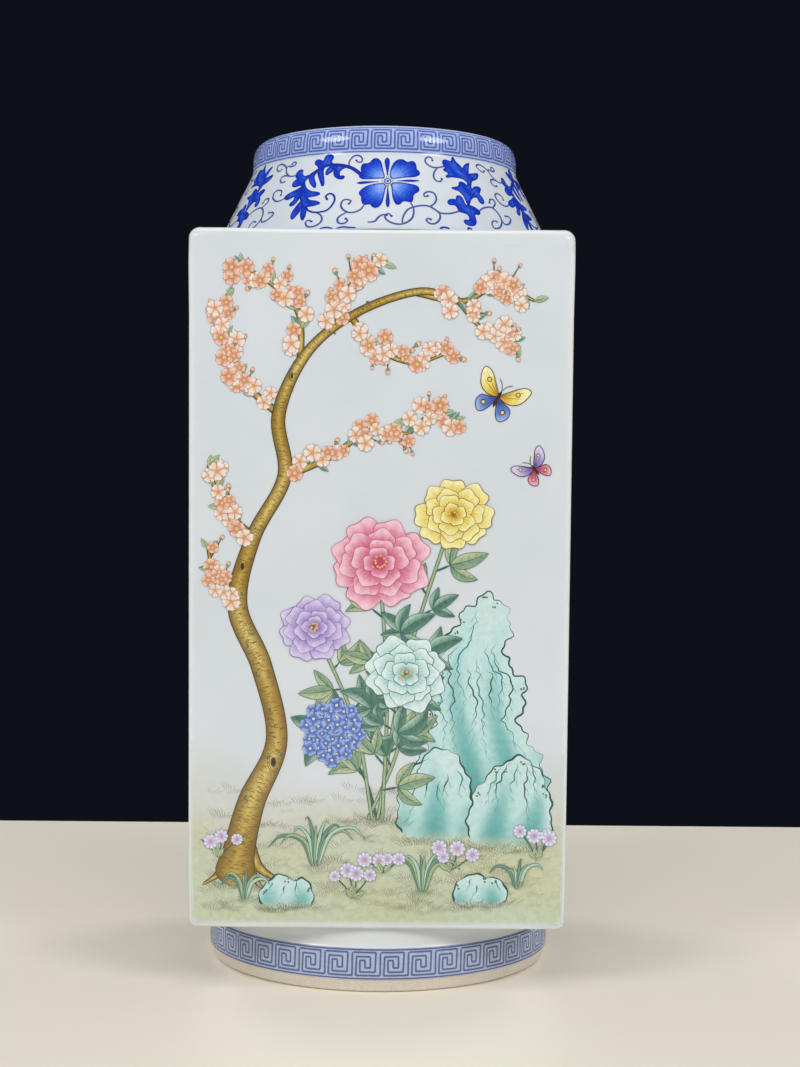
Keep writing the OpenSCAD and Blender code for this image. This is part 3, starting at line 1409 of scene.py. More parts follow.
class ScrollLevel(float, Enum):
    """What lies on what in the scroll, lowest first."""

    CURL = 0.5
    FOOT_MARK = 0.6
    CURL_END = 0.7
    LEAF_RIM = 0.8
    LEAF = 0.9
    PETAL = 2.0
    STEM = 2.6
    RIB = 2.8
    SEPAL = 3.0
    EYE = 4.0
    PUPIL = 5.0


def tenths(*numbers: int) -> Path:
    """A path from its places across and up in turn, in tenths of a millimetre."""
    return tuple((x / 10.0, y / 10.0) for x, y in zip(numbers[::2], numbers[1::2]))


@dataclass
class LotusScroll(Painting):
    """The underglaze-blue scroll round the neck: a lotus on each side between curling stems and leaves.

    All places are across from the middle of the front and up the slant of the cone, in millimetres. A sepal
    has its bearing, where it starts and ends, its width, and the share of its length at which it is widest.
    """

    repeats: int = 4
    mean_r: float = 53.0
    flower_at: Point = (1.6, 19.2)
    stem_w: float = 0.6
    rib_w: float = 0.34
    eye_r: float = 1.05
    pupil_r: float = 0.42
    eye_rim_w: float = 0.36
    petal_rim_w: float = 0.3
    leaf_rim_w: float = 0.4
    foot_mark_w: float = 0.7
    tick_w: float = 0.24
    tick_reach: tuple[float, ...] = (1.45, 1.8, 2.15)
    curl_end: Point = (0.46, 0.40)
    ticks: int = 16
    sepals: Path = ((91, 2.2, 9.5, 1.9, 0.8), (270, 1.6, 10.4, 1.3, 0.78), (3, 3.0, 10.9, 0.95, 0.6),
                    (184, 3.0, 10.5, 1.05, 0.75))
    stem: Path = tenths(-77, 219, -106, 242, -138, 255, -170, 261, -202, 261, -232, 251, -261, 233, -280, 212,
                        -289, 184, -286, 156, -276, 127, -261, 101, -242, 86, -219, 76, -198, 75, -175, 81,
                        -161, 99, -155, 122, -163, 141, -178, 146, -188, 136, -181, 124)
    curls: tuple[Path, ...] = (
        tenths(-119, 250, -125, 263, -122, 279, -109, 294, -91, 295, -78, 284, -79, 270, -91, 269, -99, 276),
        tenths(-58, 97, -68, 80, -86, 70, -105, 70, -122, 81, -131, 97, -128, 115, -115, 121, -101, 114,
               -106, 104),
        tenths(-111, 70, -132, 53, -135, 38, -126, 27, -110, 29, -104, 39, -110, 45),
        tenths(-208, 75, -190, 60, -185, 42, -194, 27, -211, 19, -228, 21, -237, 36, -230, 45, -218, 40),
        tenths(-331, 231, -361, 232, -385, 248, -395, 267, -411, 281, -436, 289, -454, 282, -447, 267,
               -428, 260, -420, 266),
        tenths(-394, 265, -391, 275, -371, 272, -354, 276, -353, 285, -368, 289, -372, 281),
        tenths(-361, 232, -386, 237, -401, 232, -404, 221, -392, 210, -378, 212),
        tenths(-346, 144, -367, 134, -389, 137, -407, 153, -409, 173, -392, 180, -374, 173, -371, 158),
        tenths(88, 110, 96, 86, 91, 54, 75, 34, 53, 24, 29, 28, 11, 42, 8, 58, 19, 64, 27, 55),
        tenths(58, 29, 62, 53, 77, 81, 100, 94, 127, 100, 150, 97, 168, 83, 183, 74, 211, 75, 245, 87,
               276, 104),
        tenths(148, 97, 165, 110, 175, 131, 169, 151, 150, 156, 135, 146, 137, 136, 147, 139),
        tenths(171, 81, 178, 67, 173, 47, 158, 32, 142, 31, 132, 42, 138, 51, 146, 47),
        tenths(240, 260, 225, 262, 203, 256, 179, 256, 161, 267, 156, 281, 166, 294, 182, 294, 185, 283),
        tenths(199, 254, 184, 236, 179, 216, 186, 202, 202, 201, 208, 211),
        tenths(310, 90, 323, 96, 344, 110, 373, 118, 390, 114, 403, 100, 409, 81, 405, 60, 388, 40, 365, 34,
               359, 50, 371, 64, 384, 62),
        tenths(386, 116, 406, 134, 406, 150, 389, 150, 381, 136),
        tenths(410, 71, 418, 57, 439, 61, 458, 80, 452, 91, 436, 91),
        tenths(-44, 30, -23, 34, -11, 51, 2, 60, 12, 58),
    )
    foot_marks: tuple[Path, ...] = (
        tenths(-186, 7, -168, 13, -144, 7),
        tenths(-134, 6, -116, 13, -96, 10, -76, 8),
        tenths(169, 12, 184, 19, 202, 15),
        tenths(260, 16, 267, 24, 276, 17),
    )
    leaves: tuple[Path, ...] = (
        tenths(-184, 262, -193, 272, -194, 280, -190, 289, -193, 299, -203, 304, -216, 303, -224, 296,
               -226, 285, -229, 280, -238, 283, -250, 287, -260, 285, -262, 276, -257, 268, -248, 262,
               -242, 254, -230, 251, -210, 259),
        tenths(-274, 226, -288, 224, -298, 228, -305, 236, -306, 248, -314, 253, -325, 250, -332, 240,
               -332, 230, -325, 221, -319, 215, -326, 212, -333, 205, -334, 194, -326, 186, -313, 185,
               -300, 189, -288, 186, -282, 208),
        tenths(-286, 182, -306, 173, -324, 165, -338, 158, -349, 147, -341, 137, -330, 136, -318, 141,
               -307, 145, -305, 136, -309, 127, -317, 117, -313, 109, -304, 109, -295, 116, -290, 126,
               -285, 138, -280, 155),
        tenths(-274, 124, -285, 110, -292, 96, -297, 80, -297, 66, -291, 55, -284, 57, -277, 69, -270, 82,
               -268, 94, -264, 106),
        tenths(-262, 104, -264, 90, -264, 76, -261, 64, -255, 52, -250, 47, -246, 56, -245, 70, -246, 82,
               -242, 90),
        tenths(-242, 244, -236, 226, -229, 212, -219, 194, -212, 181, -206, 180, -205, 189, -209, 206,
               -214, 222, -219, 238, -218, 250, -219, 258, -232, 250),
        tenths(-272, 224, -268, 210, -260, 196, -250, 185, -239, 175, -234, 177, -236, 190, -244, 203,
               -249, 214, -250, 224, -245, 236, -254, 238),
        tenths(-284, 200, -278, 188, -268, 174, -256, 165, -242, 159, -226, 156, -213, 150, -214, 145,
               -226, 141, -240, 139, -252, 138, -250, 130, -240, 124, -224, 121, -212, 116, -204, 110,
               -214, 105, -228, 102, -242, 100, -252, 98, -264, 106, -276, 126, -284, 150, -288, 176),
        tenths(-180, 259, -192, 256, -203, 248, -207, 236, -205, 225, -199, 223, -193, 229, -184, 235,
               -180, 246),
        tenths(-182, 258, -178, 242, -176, 228, -169, 214, -158, 206, -146, 203, -137, 205, -135, 211,
               -140, 216, -149, 215, -154, 220, -155, 230, -150, 240, -142, 246, -132, 250, -144, 256,
               -164, 260),
        tenths(310, 202, 304, 212, 294, 219, 280, 222, 262, 223, 244, 222, 229, 219, 228, 225, 239, 234,
               233, 241, 223, 246, 224, 252, 233, 256, 228, 263, 225, 272, 226, 282, 234, 289, 246, 289,
               258, 285, 264, 287, 268, 297, 274, 303, 279, 296, 284, 286, 294, 277, 302, 266, 308, 264,
               314, 272, 324, 280, 336, 286, 343, 287, 338, 276, 332, 262, 326, 246, 325, 240, 334, 244,
               350, 247, 366, 250, 372, 248, 368, 238, 358, 228, 344, 221, 332, 216, 326, 208, 321, 199),
        tenths(321, 201, 310, 203, 304, 194, 298, 200, 290, 205, 280, 206, 273, 201, 270, 192, 264, 186,
               252, 182, 239, 179, 246, 174, 260, 170, 270, 162, 278, 149, 281, 134, 285, 116, 293, 122,
               301, 136, 312, 147, 324, 151, 333, 148, 335, 137, 341, 129, 350, 128, 356, 136, 356, 148,
               351, 159, 346, 164, 349, 171, 355, 179, 360, 188, 357, 193, 347, 195, 335, 192, 326, 186,
               321, 180, 319, 188),
        tenths(287, 119, 279, 112, 274, 122, 272, 134, 268, 144, 260, 149, 252, 147, 247, 139, 244, 132,
               234, 133, 222, 130, 214, 123, 213, 114, 219, 110, 230, 111, 240, 106, 244, 94, 247, 86,
               260, 83, 272, 79, 278, 68, 276, 58, 270, 53, 264, 55, 258, 52, 255, 45, 259, 39, 270, 34,
               284, 35, 294, 42, 299, 54, 300, 68, 300, 80, 306, 82, 316, 82, 323, 87, 324, 95, 316, 104,
               306, 110, 296, 113),
    )
    ribs: tuple[Path, ...] = (
        tenths(289, 82, 287, 114, 302, 146, 314, 180, 314, 214, 298, 248, 276, 292),
        tenths(314, 210, 322, 240, 337, 280),
        tenths(320, 206, 342, 232, 368, 248),
        tenths(302, 244, 270, 266, 234, 282),
        tenths(308, 228, 270, 238, 232, 248),
        tenths(304, 152, 288, 180, 280, 200),
        tenths(290, 164, 270, 176, 246, 179),
        tenths(318, 162, 338, 176, 356, 190),
        tenths(320, 160, 342, 156, 349, 134),
        tenths(284, 106, 266, 118, 260, 144),
        tenths(276, 102, 250, 116, 218, 120),
        tenths(289, 90, 290, 64, 280, 44, 264, 44),
        tenths(288, 104, 304, 98, 320, 92),
        tenths(-284, 166, -256, 152, -218, 148),
        tenths(-276, 128, -246, 114, -209, 111),
        tenths(-240, 240, -224, 214, -210, 184),
        tenths(-266, 226, -252, 200, -237, 179),
        tenths(-289, 174, -318, 154, -342, 146),
        tenths(-284, 146, -300, 128, -312, 114),
        tenths(-274, 116, -284, 90, -289, 62),
        tenths(-256, 98, -254, 74, -251, 52),
        tenths(-286, 206, -310, 224, -318, 244),
        tenths(-286, 200, -310, 196, -328, 196),
        tenths(-214, 260, -210, 280, -207, 296),
        tenths(-226, 258, -242, 272, -256, 278),
        tenths(-170, 258, -168, 234, -160, 216, -144, 209),
    )
    petals_at: tuple[Path, ...] = (
        tenths(25, 220, 27, 236, 32, 252, 40, 266, 52, 277, 64, 280, 76, 278, 83, 272, 92, 270, 102, 274,
               112, 273, 118, 264, 119, 252, 119, 244, 126, 236, 129, 228, 124, 220, 112, 214, 96, 211,
               80, 210, 62, 207, 46, 204, 34, 203, 27, 207),
        tenths(4, 216, 0, 230, -3, 246, -6, 262, -12, 274, -22, 282, -34, 281, -42, 274, -48, 266, -58, 262,
               -70, 262, -77, 254, -78, 242, -76, 230, -80, 222, -82, 214, -78, 206, -66, 201, -50, 201,
               -34, 202, -20, 203, -6, 204, 3, 206),
        tenths(3, 182, -10, 182, -26, 180, -42, 176, -56, 170, -68, 160, -76, 148, -74, 138, -68, 130,
               -67, 118, -62, 104, -56, 99, -46, 101, -38, 100, -32, 92, -22, 87, -12, 92, -4, 104, 0, 118,
               3, 136, 6, 156, 9, 172),
        tenths(28, 180, 30, 164, 31, 146, 33, 128, 37, 112, 44, 101, 54, 103, 60, 110, 66, 115, 76, 114,
               86, 112, 93, 114, 96, 124, 98, 136, 104, 146, 116, 154, 120, 164, 116, 174, 104, 180, 88, 183,
               70, 186, 52, 187, 38, 186),
    )

    def __post_init__(self) -> None:
        """Start the painting of one repeat."""
        self.draw = Random(11)
        self.leaf_count = 0

    def petals(self) -> None:
        """Paint the four fan petals: deep at the scalloped edge, paling to the heart, combed by the brush."""
        heart = np.array(self.flower_at)
        stops = ((0.0, Cobalt.PALE), (0.28, Cobalt.PALE), (0.52, Cobalt.LIGHT),
                 (0.7, mix(Cobalt.BLUE, Cobalt.LIGHT, 0.2)), (0.84, Cobalt.BLUE), (1.0, Cobalt.DEEP))
        for path in self.petals_at:
            edge = curve(path, closed=True)
            rays = edge - heart
            bearings, reaches = np.arctan2(rays[:, 1], rays[:, 0]), norms(rays)
            phase = self.draw.uniform(0.0, TAU)

            def wash(at: Array, deep_in: Array) -> Array:
                """Colour by how far a place lies towards the outer edge, combed along the petal.

                Args:
                    at: Places on the sheet.
                    deep_in: Their distances from the outline.

                Returns:
                    Their colours.
                """
                ray = at - heart
                way = np.arctan2(ray[:, 1], ray[:, 0])
                gap = np.abs((bearings[None] - way[:, None] + pi) % TAU - pi)
                near = np.where(gap < 0.12, reaches[None], 0.0).max(axis=1)
                comb = 0.05 * np.sin(way * 34.0 + phase) + 0.03 * np.sin(way * 71.0)
                return ramp(stops, np.where(deep_in > 0.0, norms(ray) / np.maximum(near, 1e-6) + comb, 1.0))

            self.area(edge, wash, ScrollLevel.PETAL, 0.55)
            self.rim(edge, self.petal_rim_w, Cobalt.DEEP, ScrollLevel.SEPAL)

    def heart(self) -> None:
        """Paint the sepals between the petals, and the ringed eye with its ticks."""
        at = self.flower_at
        for turn, start, end, wide, top in self.sepals:

            def club(t: float) -> float:
                """Width of a sepal that swells towards its tip."""
                swell = smooth(t / top) if t < top else 1.0 - ((t - top) / (1.0 - top)) ** 2
                return wide * (0.22 + 0.78 * swell)

            path = [polar(at, radians(turn), far) for far in np.linspace(start, end, 30)]
            self.stroke(path, club, Cobalt.BLUE, ScrollLevel.SEPAL, Cobalt.DEEP)
        self.spot(at, self.eye_r, self.eye_r, Cobalt.MIST, Cobalt.MIST, ScrollLevel.EYE, 36)
        self.rim(dot(at, self.eye_r, self.eye_r, 36), self.eye_rim_w, Cobalt.TENDRIL, ScrollLevel.PUPIL)
        self.spot(at, self.pupil_r, self.pupil_r, Cobalt.DEEP, Cobalt.DEEP, ScrollLevel.PUPIL, 18)
        for k in range(self.ticks):
            tick = [polar(at, TAU * (k + 0.5) / self.ticks, far) for far in self.tick_reach]
            self.stroke(tick, self.tick_w, Cobalt.TENDRIL, ScrollLevel.EYE)

    def leaf(self, path: Path) -> None:
        """Paint one leaf: bright cobalt, darker at its edges and lifted in the middle of its lobes.

        Args:
            path: Points round the leaf.
        """
        phase = self.draw.uniform(0.0, TAU)
        stops = ((0.0, Cobalt.DEEP), (0.5, Cobalt.BLUE), (1.0, mix(Cobalt.BLUE, Cobalt.LIGHT, 0.45)))

        def wash(at: Array, deep_in: Array) -> Array:
            """Darker near the edge, with slow lighter drifts inside."""
            drift = 0.5 + 0.5 * np.sin(at[:, 0] * 1.1 + at[:, 1] * 0.8 + phase)
            return ramp(stops, np.clip(deep_in / 0.7, 0.0, 1.0) * (0.45 + 0.55 * drift))

        self.leaf_count += 1
        edge = curve(path, closed=True)
        self.area(edge, wash, ScrollLevel.LEAF + 0.1 * self.leaf_count, 0.5)
        self.rim(edge, self.leaf_rim_w, mix(Cobalt.DEEP, Cobalt.BLUE, 0.4), ScrollLevel.LEAF_RIM)

    def tendrils(self) -> None:
        """Paint the stem, the curls with a dot at each end, the ribs of the leaves and the marks below."""
        line, deep = Cobalt.TENDRIL, Cobalt.DEEP
        self.stroke(curve(self.stem, 0.2), lambda t: self.stem_w * (2.3 - 1.2 * float(smooth(t * 1.6))), deep,
                    ScrollLevel.STEM, mix(line, deep, 0.5))
        for path in self.curls:
            self.stroke(curve(path, 0.18), lambda t: self.stem_w * (0.9 + 0.3 * sin(pi * t)), line,
                        ScrollLevel.CURL, mix(line, Cobalt.MIST, 0.25))
        for path in self.curls + (self.stem,):
            self.spot(path[-1], *self.curl_end, line, deep, ScrollLevel.CURL_END, 14)
        for path in self.ribs:
            self.stroke(curve(path, 0.2), lambda t: self.rib_w * (1.0 - 0.6 * t), deep, ScrollLevel.RIB)
        for path in self.foot_marks:
            self.stroke(curve(path, 0.2), self.foot_mark_w, deep, ScrollLevel.FOOT_MARK, Cobalt.BLUE)

    def build(self, rows: RowTree, sheet: TurnedSheet, material: Material) -> None:
        """Paint one repeat, run it round the neck and lay it on the cone.

        Args:
            rows: The tree that repeats units.
            sheet: The outside of the neck.
            material: The finish.
        """
        self.tendrils()
        for path in self.leaves:
            self.leaf(path)
        self.petals()
        self.heart()
        pitch = TAU * self.mean_r / self.repeats
        flat = rows.run(self.mesh("lotus_scroll"), Count=self.repeats, Pitch=pitch, Material=material)
        wrap("lotus_scroll", flat, sheet.place, material)


@dataclass
class CornerSprigs(LotusScroll):
    """A leafy cobalt sprig in each corner of the shoulder, in the manner of the scroll on the neck.

    Places are out along the corner's middle line from the vase's axis, and across it, in millimetres.
    """

    half_leaf: Path = tenths(660, 0, 668, 16, 682, 24, 698, 20, 710, 26, 726, 32, 742, 26, 756, 14, 786, 0)
    spine: Path = tenths(666, 0, 768, 0)
    side_leaf: Path = tenths(670, 20, 662, 40, 664, 64, 678, 80, 696, 86, 698, 72, 688, 56, 690, 40, 686, 26)
    side_curl: Path = tenths(664, 60, 658, 86, 662, 114, 680, 134, 702, 136, 712, 120, 702, 108, 692, 116)

    def paint(self) -> None:
        """Paint one sprig, its two halves mirrored."""
        self.leaf([*self.half_leaf, *((x, -y) for x, y in self.half_leaf[-2:0:-1])])
        self.stroke(self.spine, self.rib_w, Cobalt.DEEP, ScrollLevel.RIB)
        for sign in (1, -1):
            self.leaf([(x, sign * y) for x, y in self.side_leaf])
            curl = curve([(x, sign * y) for x, y in self.side_curl], 0.2)
            self.stroke(curl, self.stem_w, Cobalt.TENDRIL, ScrollLevel.CURL)
            self.spot(curl[-1], *self.curl_end, Cobalt.TENDRIL, Cobalt.DEEP, ScrollLevel.CURL_END, 14)

    def build_on(self, place: Callable[[Array], Array], material: Material) -> None:
        """Paint the sprig, repeat it in the four corners and lay it on the shoulder.

        Args:
            place: Gives places on the shoulder for flat points.
            material: The finish.
        """
        self.paint()
        one, corners = self.mesh("sprig"), Painting()
        for quarter in range(4):
            corners.lay(one, (0.0, 0.0), radians(45.0 + 90.0 * quarter), 0.0)
        wrap("corner_sprigs", corners.mesh("corner_sprigs"), place, material)


class Enamel(Paint):
    """The enameller's colours, fired on over the glaze."""

    INK = "43342c"
    TEAL_INK = "2c5257"
    GROUND_LOW = "c3cfae"
    GROUND = "c9cca9"
    GROUND_WARM = "cfc6ab"
    GRASS = "80745a"
    GRASS_GREEN = "748660"
    ROCK = "79bdb9"
    ROCK_DEEP = "3f8c93"
    ROCK_PALE = "cbe6e3"
    BARK = "c2a24c"
    BARK_LIGHT = "e0c878"
    BARK_DARK = "7a5f2c"
    SALMON = "e8b295"
    SALMON_PALE = "f3dccd"
    SALMON_DEEP = "c27a5c"
    PINE = "6b9786"
    PINE_DEEP = "3f695f"
    SAGE = "a6b88c"
    MINT = "b7d3c0"
    PINK = "e087a4"
    PINK_PALE = "f4ccd8"
    ROSE = "c24b74"
    YELLOW = "efdc76"
    YELLOW_PALE = "f7eeb4"
    AMBER = "d6a33c"
    BLUE = "6f8fd6"
    BLUE_PALE = "bccbee"
    BLUE_DEEP = "3d5aae"
    LILAC = "b6a2da"
    LILAC_PALE = "dcd2ef"
    LILAC_DEEP = "7f66b4"
    AQUA = "bfe3e2"
    AQUA_PALE = "e2f1ee"
    AQUA_DEEP = "7fbcc0"


@dataclass(frozen=True)
class Shades:
    """Colours of one bloom or leaf, from its root to its edge, and of the line drawn round it."""

    root: Enamel
    body: Enamel
    edge: Enamel
    line: Enamel

    def stops(self) -> Stops:
        """The shades as a ramp from root (0) to edge (1)."""
        return (0.2, self.root), (0.6, self.body), (0.92, self.edge)


ROSE_BLOOM = Shades(Enamel.ROSE, Enamel.PINK, Enamel.PINK_PALE, Enamel.ROSE)
YELLOW_BLOOM = Shades(Enamel.AMBER, Enamel.YELLOW, Enamel.YELLOW_PALE, Enamel.BARK_DARK)
AQUA_BLOOM = Shades(Enamel.AQUA_DEEP, Enamel.AQUA, Enamel.AQUA_PALE, Enamel.TEAL_INK)
LILAC_BLOOM = Shades(Enamel.LILAC_DEEP, Enamel.LILAC, Enamel.LILAC_PALE, Enamel.LILAC_DEEP)
BLUE_BLOOM = Shades(Enamel.BLUE_DEEP, Enamel.BLUE, Enamel.BLUE_PALE, Enamel.BLUE_DEEP)
SALMON_BLOOM = Shades(Enamel.SALMON_DEEP, Enamel.SALMON, Enamel.SALMON_PALE, Enamel.SALMON_DEEP)
PALE_BLOOM = Shades(Enamel.SALMON, Enamel.SALMON_PALE, Enamel.AQUA_PALE, Enamel.SALMON_DEEP)
DAISY_BLOOM = Shades(Enamel.LILAC, Enamel.LILAC_PALE, Enamel.AQUA_PALE, Enamel.LILAC_DEEP)
PINE_LEAF = Shades(Enamel.PINE_DEEP, Enamel.PINE, Enamel.MINT, Enamel.PINE_DEEP)
SAGE_LEAF = Shades(Enamel.PINE, Enamel.SAGE, Enamel.GROUND, Enamel.PINE_DEEP)


class Unit(Enum):
    """The small units that are scattered, in the order of their collection."""

    BLOSSOM = 0
    BLOSSOM_PALE = 1
    BUD = 2
    LEAF = 3
    LEAF_SAGE = 4
    TUFT = 5
    TUFT_GREEN = 6
    DAISY = 7
    MOSS = 8
    FLORET = 9


# Levels of paint on the walls are thinner than those of the scroll, because a garden has many more.
WALL_LEVEL_MM = 0.004
SMALL_SHEET = partial(Painting, WALL_LEVEL_MM, 3.0)
MIDDLE = (0.0, 0.0)


def petal_outline(sides: Path, tip: float, wide: float, long: float) -> Array:
    """Draw a petal that points up from its centre.

    Args:
        sides: Points of one side, as shares of its half width and its length.
        tip: Share of its length at its tip.
        wide: Its half width.
        long: Its length.

    Returns:
        Its outline.
    """
    return np.array([(0.0, 0.1), *sides, (0.0, tip), *((-x, y) for x, y in sides[::-1])]) * (wide, long)


@dataclass
class UnitBox:
    """Makes the small units, each of a few dozen faces, and keeps them for the scatter tree."""

    ring: RingTree
    material: Material
    petal_sides: Path = ((0.6, 0.42), (1.0, 0.74), (0.62, 0.97))
    half_leaf: Path = ((0.0, 0.0), (0.75, 1.2), (0.95, 2.4), (0.6, 3.7), (0.0, 4.8))
    blades: int = 8

    def __post_init__(self) -> None:
        """Make every unit."""
        self.draw = Random(5)
        self.collection = bpy.data.collections.new("units")
        made = {
            Unit.BLOSSOM: self.blossom(SALMON_BLOOM, 5, 2.5, 1.04, Enamel.YELLOW),
            Unit.BLOSSOM_PALE: self.blossom(PALE_BLOOM, 5, 2.6, 1.08, Enamel.AMBER),
            Unit.BUD: self.bud(), Unit.LEAF: self.leaf(PINE_LEAF), Unit.LEAF_SAGE: self.leaf(SAGE_LEAF),
            Unit.TUFT: self.tuft(Enamel.GRASS), Unit.TUFT_GREEN: self.tuft(Enamel.GRASS_GREEN),
            Unit.DAISY: self.blossom(DAISY_BLOOM, 9, 2.6, 0.62, Enamel.AMBER),
            Unit.MOSS: self.moss(), Unit.FLORET: self.blossom(BLUE_BLOOM, 4, 1.9, 1.1, Enamel.YELLOW_PALE),
        }
        for unit in Unit:
            mesh = made[unit].mesh(f"{unit.value:02d}_{unit.name.lower()}")
            mesh.materials.append(self.material)
            self.collection.objects.link(bpy.data.objects.new(mesh.name, mesh))

    def ring_of(self, petal: Painting, count: int, lift: float) -> Mesh:
        """Repeat a petal round its centre, each raised by a share of a level over the last."""
        flat, lift_mm = petal.mesh("petal"), lift * WALL_LEVEL_MM
        return self.ring.run(flat, Count=count, Lift=lift_mm, Material=self.material)

    def blossom(self, shades: Shades, petals: int, long: float, wide: float, eye: Enamel) -> Painting:
        """Paint a small open blossom from a ring of one petal.

        Args:
            shades: Its colours.
            petals: How many petals.
            long: Length of a petal.
            wide: Half width of a petal.
            eye: Colour of its eye.

        Returns:
            The painting of the blossom about its centre.
        """
        petal, flower = SMALL_SHEET(), SMALL_SHEET()
        edge = petal_outline(self.petal_sides, 0.9, wide, long)
        heart, n = np.array((0.0, 0.62 * long)), len(edge)
        petal.add(heart + (edge - heart) * (1.24, 1.1), np.tile(mix(shades.line, shades.body, 0.25), (n, 1)),
                  [range(n)], 0.0)
        points = np.vstack([edge, heart])
        fan = [(i, (i + 1) % n, n) for i in range(n)]
        petal.add(points, ramp(shades.stops(), points[:, 1] / long), fan, 1.0)
        flower.lay(self.ring_of(petal, petals, 0.05), MIDDLE, 0.0, 0.0)
        flower.spot(MIDDLE, 0.2 * long, 0.2 * long, eye, mix(eye, shades.root, 0.4), 2.5)
        return flower

    def bud(self) -> Painting:
        """Paint a bud in its green cup.

        Returns:
            The painting of the bud, from its stalk up.
        """
        sheet = SMALL_SHEET()
        sheet.fill(dot((0.0, 1.0), 0.75, 1.05, 10), (0.0, 0.9),
                   ((1.0, Enamel.SALMON_DEEP), (0.75, Enamel.SALMON), (0.0, Enamel.SALMON_PALE)), 1.0)
        sheet.fill([(-0.7, 0.5), (0.0, -0.5), (0.7, 0.5), (0.0, 0.9)], (0.0, 0.3),
                   ((1.0, Enamel.PINE_DEEP), (0.0, Enamel.SAGE)), 1.5)
        return sheet

    def leaf(self, shades: Shades) -> Painting:
        """Paint a small pointed leaf, its two halves in two greens.

        Args:
            shades: Its greens.

        Returns:
            The painting of the leaf, from its root up.
        """
        sheet, n = SMALL_SHEET(), len(self.half_leaf)
        for sign, tint in ((1, shades.body), (-1, mix(shades.body, shades.edge, 0.6))):
            points = np.array([(sign * x, y) for x, y in self.half_leaf])
            order = range(n)[::sign]
            sheet.add(points * (1.14, 1.03), np.tile(shades.line.tone(0.9), (n, 1)), [order], 0.0)
            sheet.add(points, np.tile(rgba(tint), (n, 1)), [order], 1.0)
        sheet.stroke([(0.0, -0.9), (0.0, 2.0), (0.0, 4.2)], 0.2, shades.line, 2.0)
        return sheet

    def tuft(self, colour: Enamel) -> Painting:
        """Paint a tuft of grass: a fan of fine bent blades.

        Args:
            colour: Its colour.

        Returns:
            The painting of the tuft, from the ground up.
        """
        sheet = SMALL_SHEET()
        for k in range(self.blades):
            lean = -1.2 + 0.34 * k + self.draw.uniform(-0.12, 0.12)
            long = self.draw.uniform(1.8, 3.6) * (1.15 - 0.3 * abs(lean))
            foot = 0.75 * (k - (self.blades - 1) / 2)
            blade = [(foot, 0.0), (foot + 0.35 * lean * long, 0.62 * long), (foot + 0.95 * lean * long, long)]
            sheet.stroke(blade, lambda t: 0.28 * (1.1 - 0.8 * t), colour.tone(0.85), 0.1 * k)
        return sheet

    def moss(self) -> Painting:
        """Paint a dot of moss.

        Returns:
            The painting of the dot about its middle.
        """
        sheet = SMALL_SHEET()
        sheet.fill(dot(MIDDLE, 0.62, 0.5), MIDDLE,
                   ((1.0, Enamel.PINE_DEEP), (0.6, Enamel.PINE_DEEP), (0.0, Enamel.PINE)), 0.5)
        return sheet


Bloom = tuple[Point, float, Shades]


@dataclass(frozen=True)
class GardenPlan:
    """What grows where on one side, in millimetres across from its middle and up from its lower edge.

    The tree has its flip and its shift, the rock its flip, its place and its size. A bloom has its place,
    radius and shades, and a cluster its place and radius. A clump of blades has its place, their number and
    their length. A butterfly has its place, size, turn and the shades of its wings.
    """

    seed: int
    ground: Path
    tree: tuple[float, float] | None
    rock: tuple[float, float, float, float]
    root: Point
    peonies: tuple[Bloom, ...] = ()
    mums: tuple[Bloom, ...] = ()
    clusters: tuple[tuple[Point, float], ...] = ()
    canes: tuple[Path, ...] = ()
    butterflies: tuple[tuple[Point, float, float, Shades, Shades], ...] = ()
    clumps: tuple[tuple[Point, int, float], ...] = ()
    stones: Path = ()
    daisies: Path = ()


class Level(float, Enum):
    """What lies on what in a garden, lowest first."""

    BACK_GRASS = 0.3
    ROCK = 4.0
    ROOT = 21.0
    CANE = 22.0
    CANE_RING = 23.0
    BRANCH = 24.0
    TWIG = 24.5
    TRUNK = 25.5
    TWIG_LEAF = 26.0
    BARK = 27.0
    KNOT = 28.0
    BLOSSOM = 29.0
    CLUSTER_STALK = 29.5
    STEM = 30.0
    SPRAY_STALK = 32.5
    LEAF = 33.0
    FEELER = 38.0
    STONE = 40.0
    ROOT_GRASS = 41.0
    STALK = 58.0
    BLADE = 60.0
    BLOOM = 66.0
    FRONT_GRASS = 96.0


def bowed(start: Point, end: Point, bow: float) -> Array:
    """A curve between two places that bows to one side in its middle."""
    return curve([start, ((start[0] + end[0]) / 2 + bow, (start[1] + end[1]) / 2), end], 0.9)


